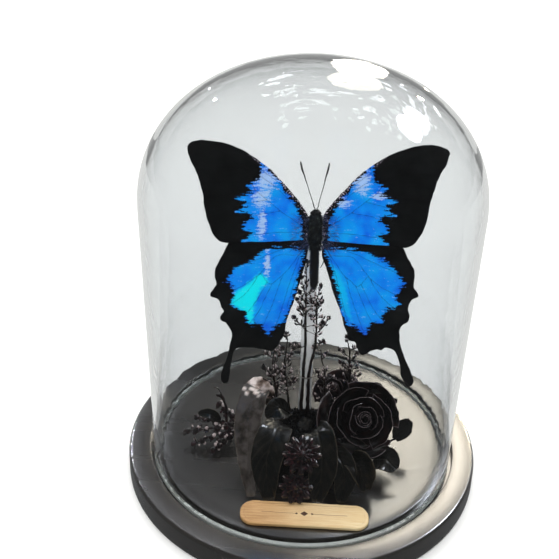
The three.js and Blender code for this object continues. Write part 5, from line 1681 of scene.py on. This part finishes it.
# Lamps as name, place, aim, size, watts, colour and the rays that miss them.
LAMPS = [
    ("overhead_box", (-0.1, 0.55, 1.5), (0, 0.1, 0), (2.4, 2.4), 46, "#ffffff", EVEN_LIGHT),
    ("front_fill", (0.1, -1.2, 1.0), (0, 0, 0.1), (1.0, 0.8), 13, "#ffffff", EVEN_LIGHT),
    # The two cards lie and stand behind the dome, and mostly the rim of the glass mirrors them.
    ("low_card", (0, 2.6, 0.002), (0, 2.6, 1), (8, 5.2), 72, "#f6f7f4", HIGHLIGHT),
    ("tall_card", (0, 3.4, 0.8), (0, 0, 0.8), (8, 1.6), 19, "#f6f7f4", HIGHLIGHT),
    # The panel gives the gleam on the right of the base, the others those on the glass.
    ("back_panel", (0.22, 1.0, 0.86), (0, 0, 0.02), (0.32, 0.42), 2.8, "#fff5e2", HIGHLIGHT),
    ("window", (0.62, 0.42, 0.86), (0, 0, 0.15), (0.34, 0.2), 9, "#eef4ff", HIGHLIGHT),
    ("sun", (0.46, 0.85, 0.5), (0, 0, 0.1), (0.035, 0.035), 5, "#fff3d8", HIGHLIGHT),
    ("left_glint", (-0.5, 0.7, 0.62), (0, 0, 0.05), (0.02, 0.02), 2.5, "#f2f6ff", HIGHLIGHT),
]
DAPPLES = 64
DAPPLE_NEAR, DAPPLE_FAR = (-0.3, 0.2, 0.7), (0.85, 1.0, 1.4)      # corners of the space they hang in
DAPPLE_GLOW = 20                # watts for each square metre of dapple


def make_dapples():
    """Little lights like gaps between leaves, for the broken gleam on the crown of the dome."""
    draw = np.random.default_rng(61)
    for index in range(DAPPLES):
        place = tuple(draw.uniform(DAPPLE_NEAR, DAPPLE_FAR))
        wide, high = draw.uniform(0.02, 0.11), draw.uniform(0.01, 0.05)
        glow = DAPPLE_GLOW * draw.uniform(0.4, 1.4)
        make_lamp(f"dapple_{index:02d}", place, (0, 0, 0.15), (wide, high), glow * wide * high, "#f6f8ff",
                  HIGHLIGHT)


def make_light():
    """A dim even sky, the lamps and the dapples."""
    world = bpy.data.worlds.new("studio")
    world.use_nodes = True
    sky = world.node_tree.nodes["Background"]
    sky.inputs["Color"].default_value = linear("#f3f6f8")
    sky.inputs["Strength"].default_value = 0.15
    bpy.context.scene.world = world
    for lamp in LAMPS:
        make_lamp(*lamp)
    make_dapples()
    bpy.context.scene.view_settings.view_transform = "Standard"


CAMERA_PLACE = (0, -0.3168, 0.2738)
CAMERA_TURN = math.radians(2.241)           # to the left
CAMERA_TILT = math.radians(60.657)          # up from straight down
CAMERA_ROLL = math.radians(1.506)
LENS_MM, SENSOR_MM = 54.22, 36.0


def make_camera():
    """A camera in front of the dome and above it, that looks down at the butterfly."""
    camera = bpy.data.cameras.new("camera")
    camera.lens = LENS_MM
    camera.sensor_width = SENSOR_MM
    camera.clip_start = 0.01
    holder = bpy.data.objects.new("camera", camera)
    holder.matrix_world = (Matrix.Translation(CAMERA_PLACE) @ Matrix.Rotation(CAMERA_TURN, 4, "Z")
                           @ Matrix.Rotation(CAMERA_TILT, 4, "X") @ Matrix.Rotation(CAMERA_ROLL, 4, "Z"))
    bpy.context.scene.collection.objects.link(holder)
    bpy.context.scene.camera = holder


make_camera()
make_light()
make_floor()
make_base()
make_dome()
make_plaque()
make_rod()
make_tie()
make_body()
make_antennae()
make_hairs()
for wing in WINGS:
    make_wing(*wing)
make_mound()
for seed, rose in enumerate(ROSES):
    make_rose(rose, 100 + 20 * seed)
for seed, (spray_name, spray) in enumerate(SPRAYS.items()):
    make_spray(spray_name, spray, 200 + 7 * seed)
for head in SEED_HEADS:
    make_seed_head(*head)
make_berry_spray()
make_curled_stem()
for seed, leaf in enumerate(LEAVES):
    make_leaf(*leaf, 300 + seed)
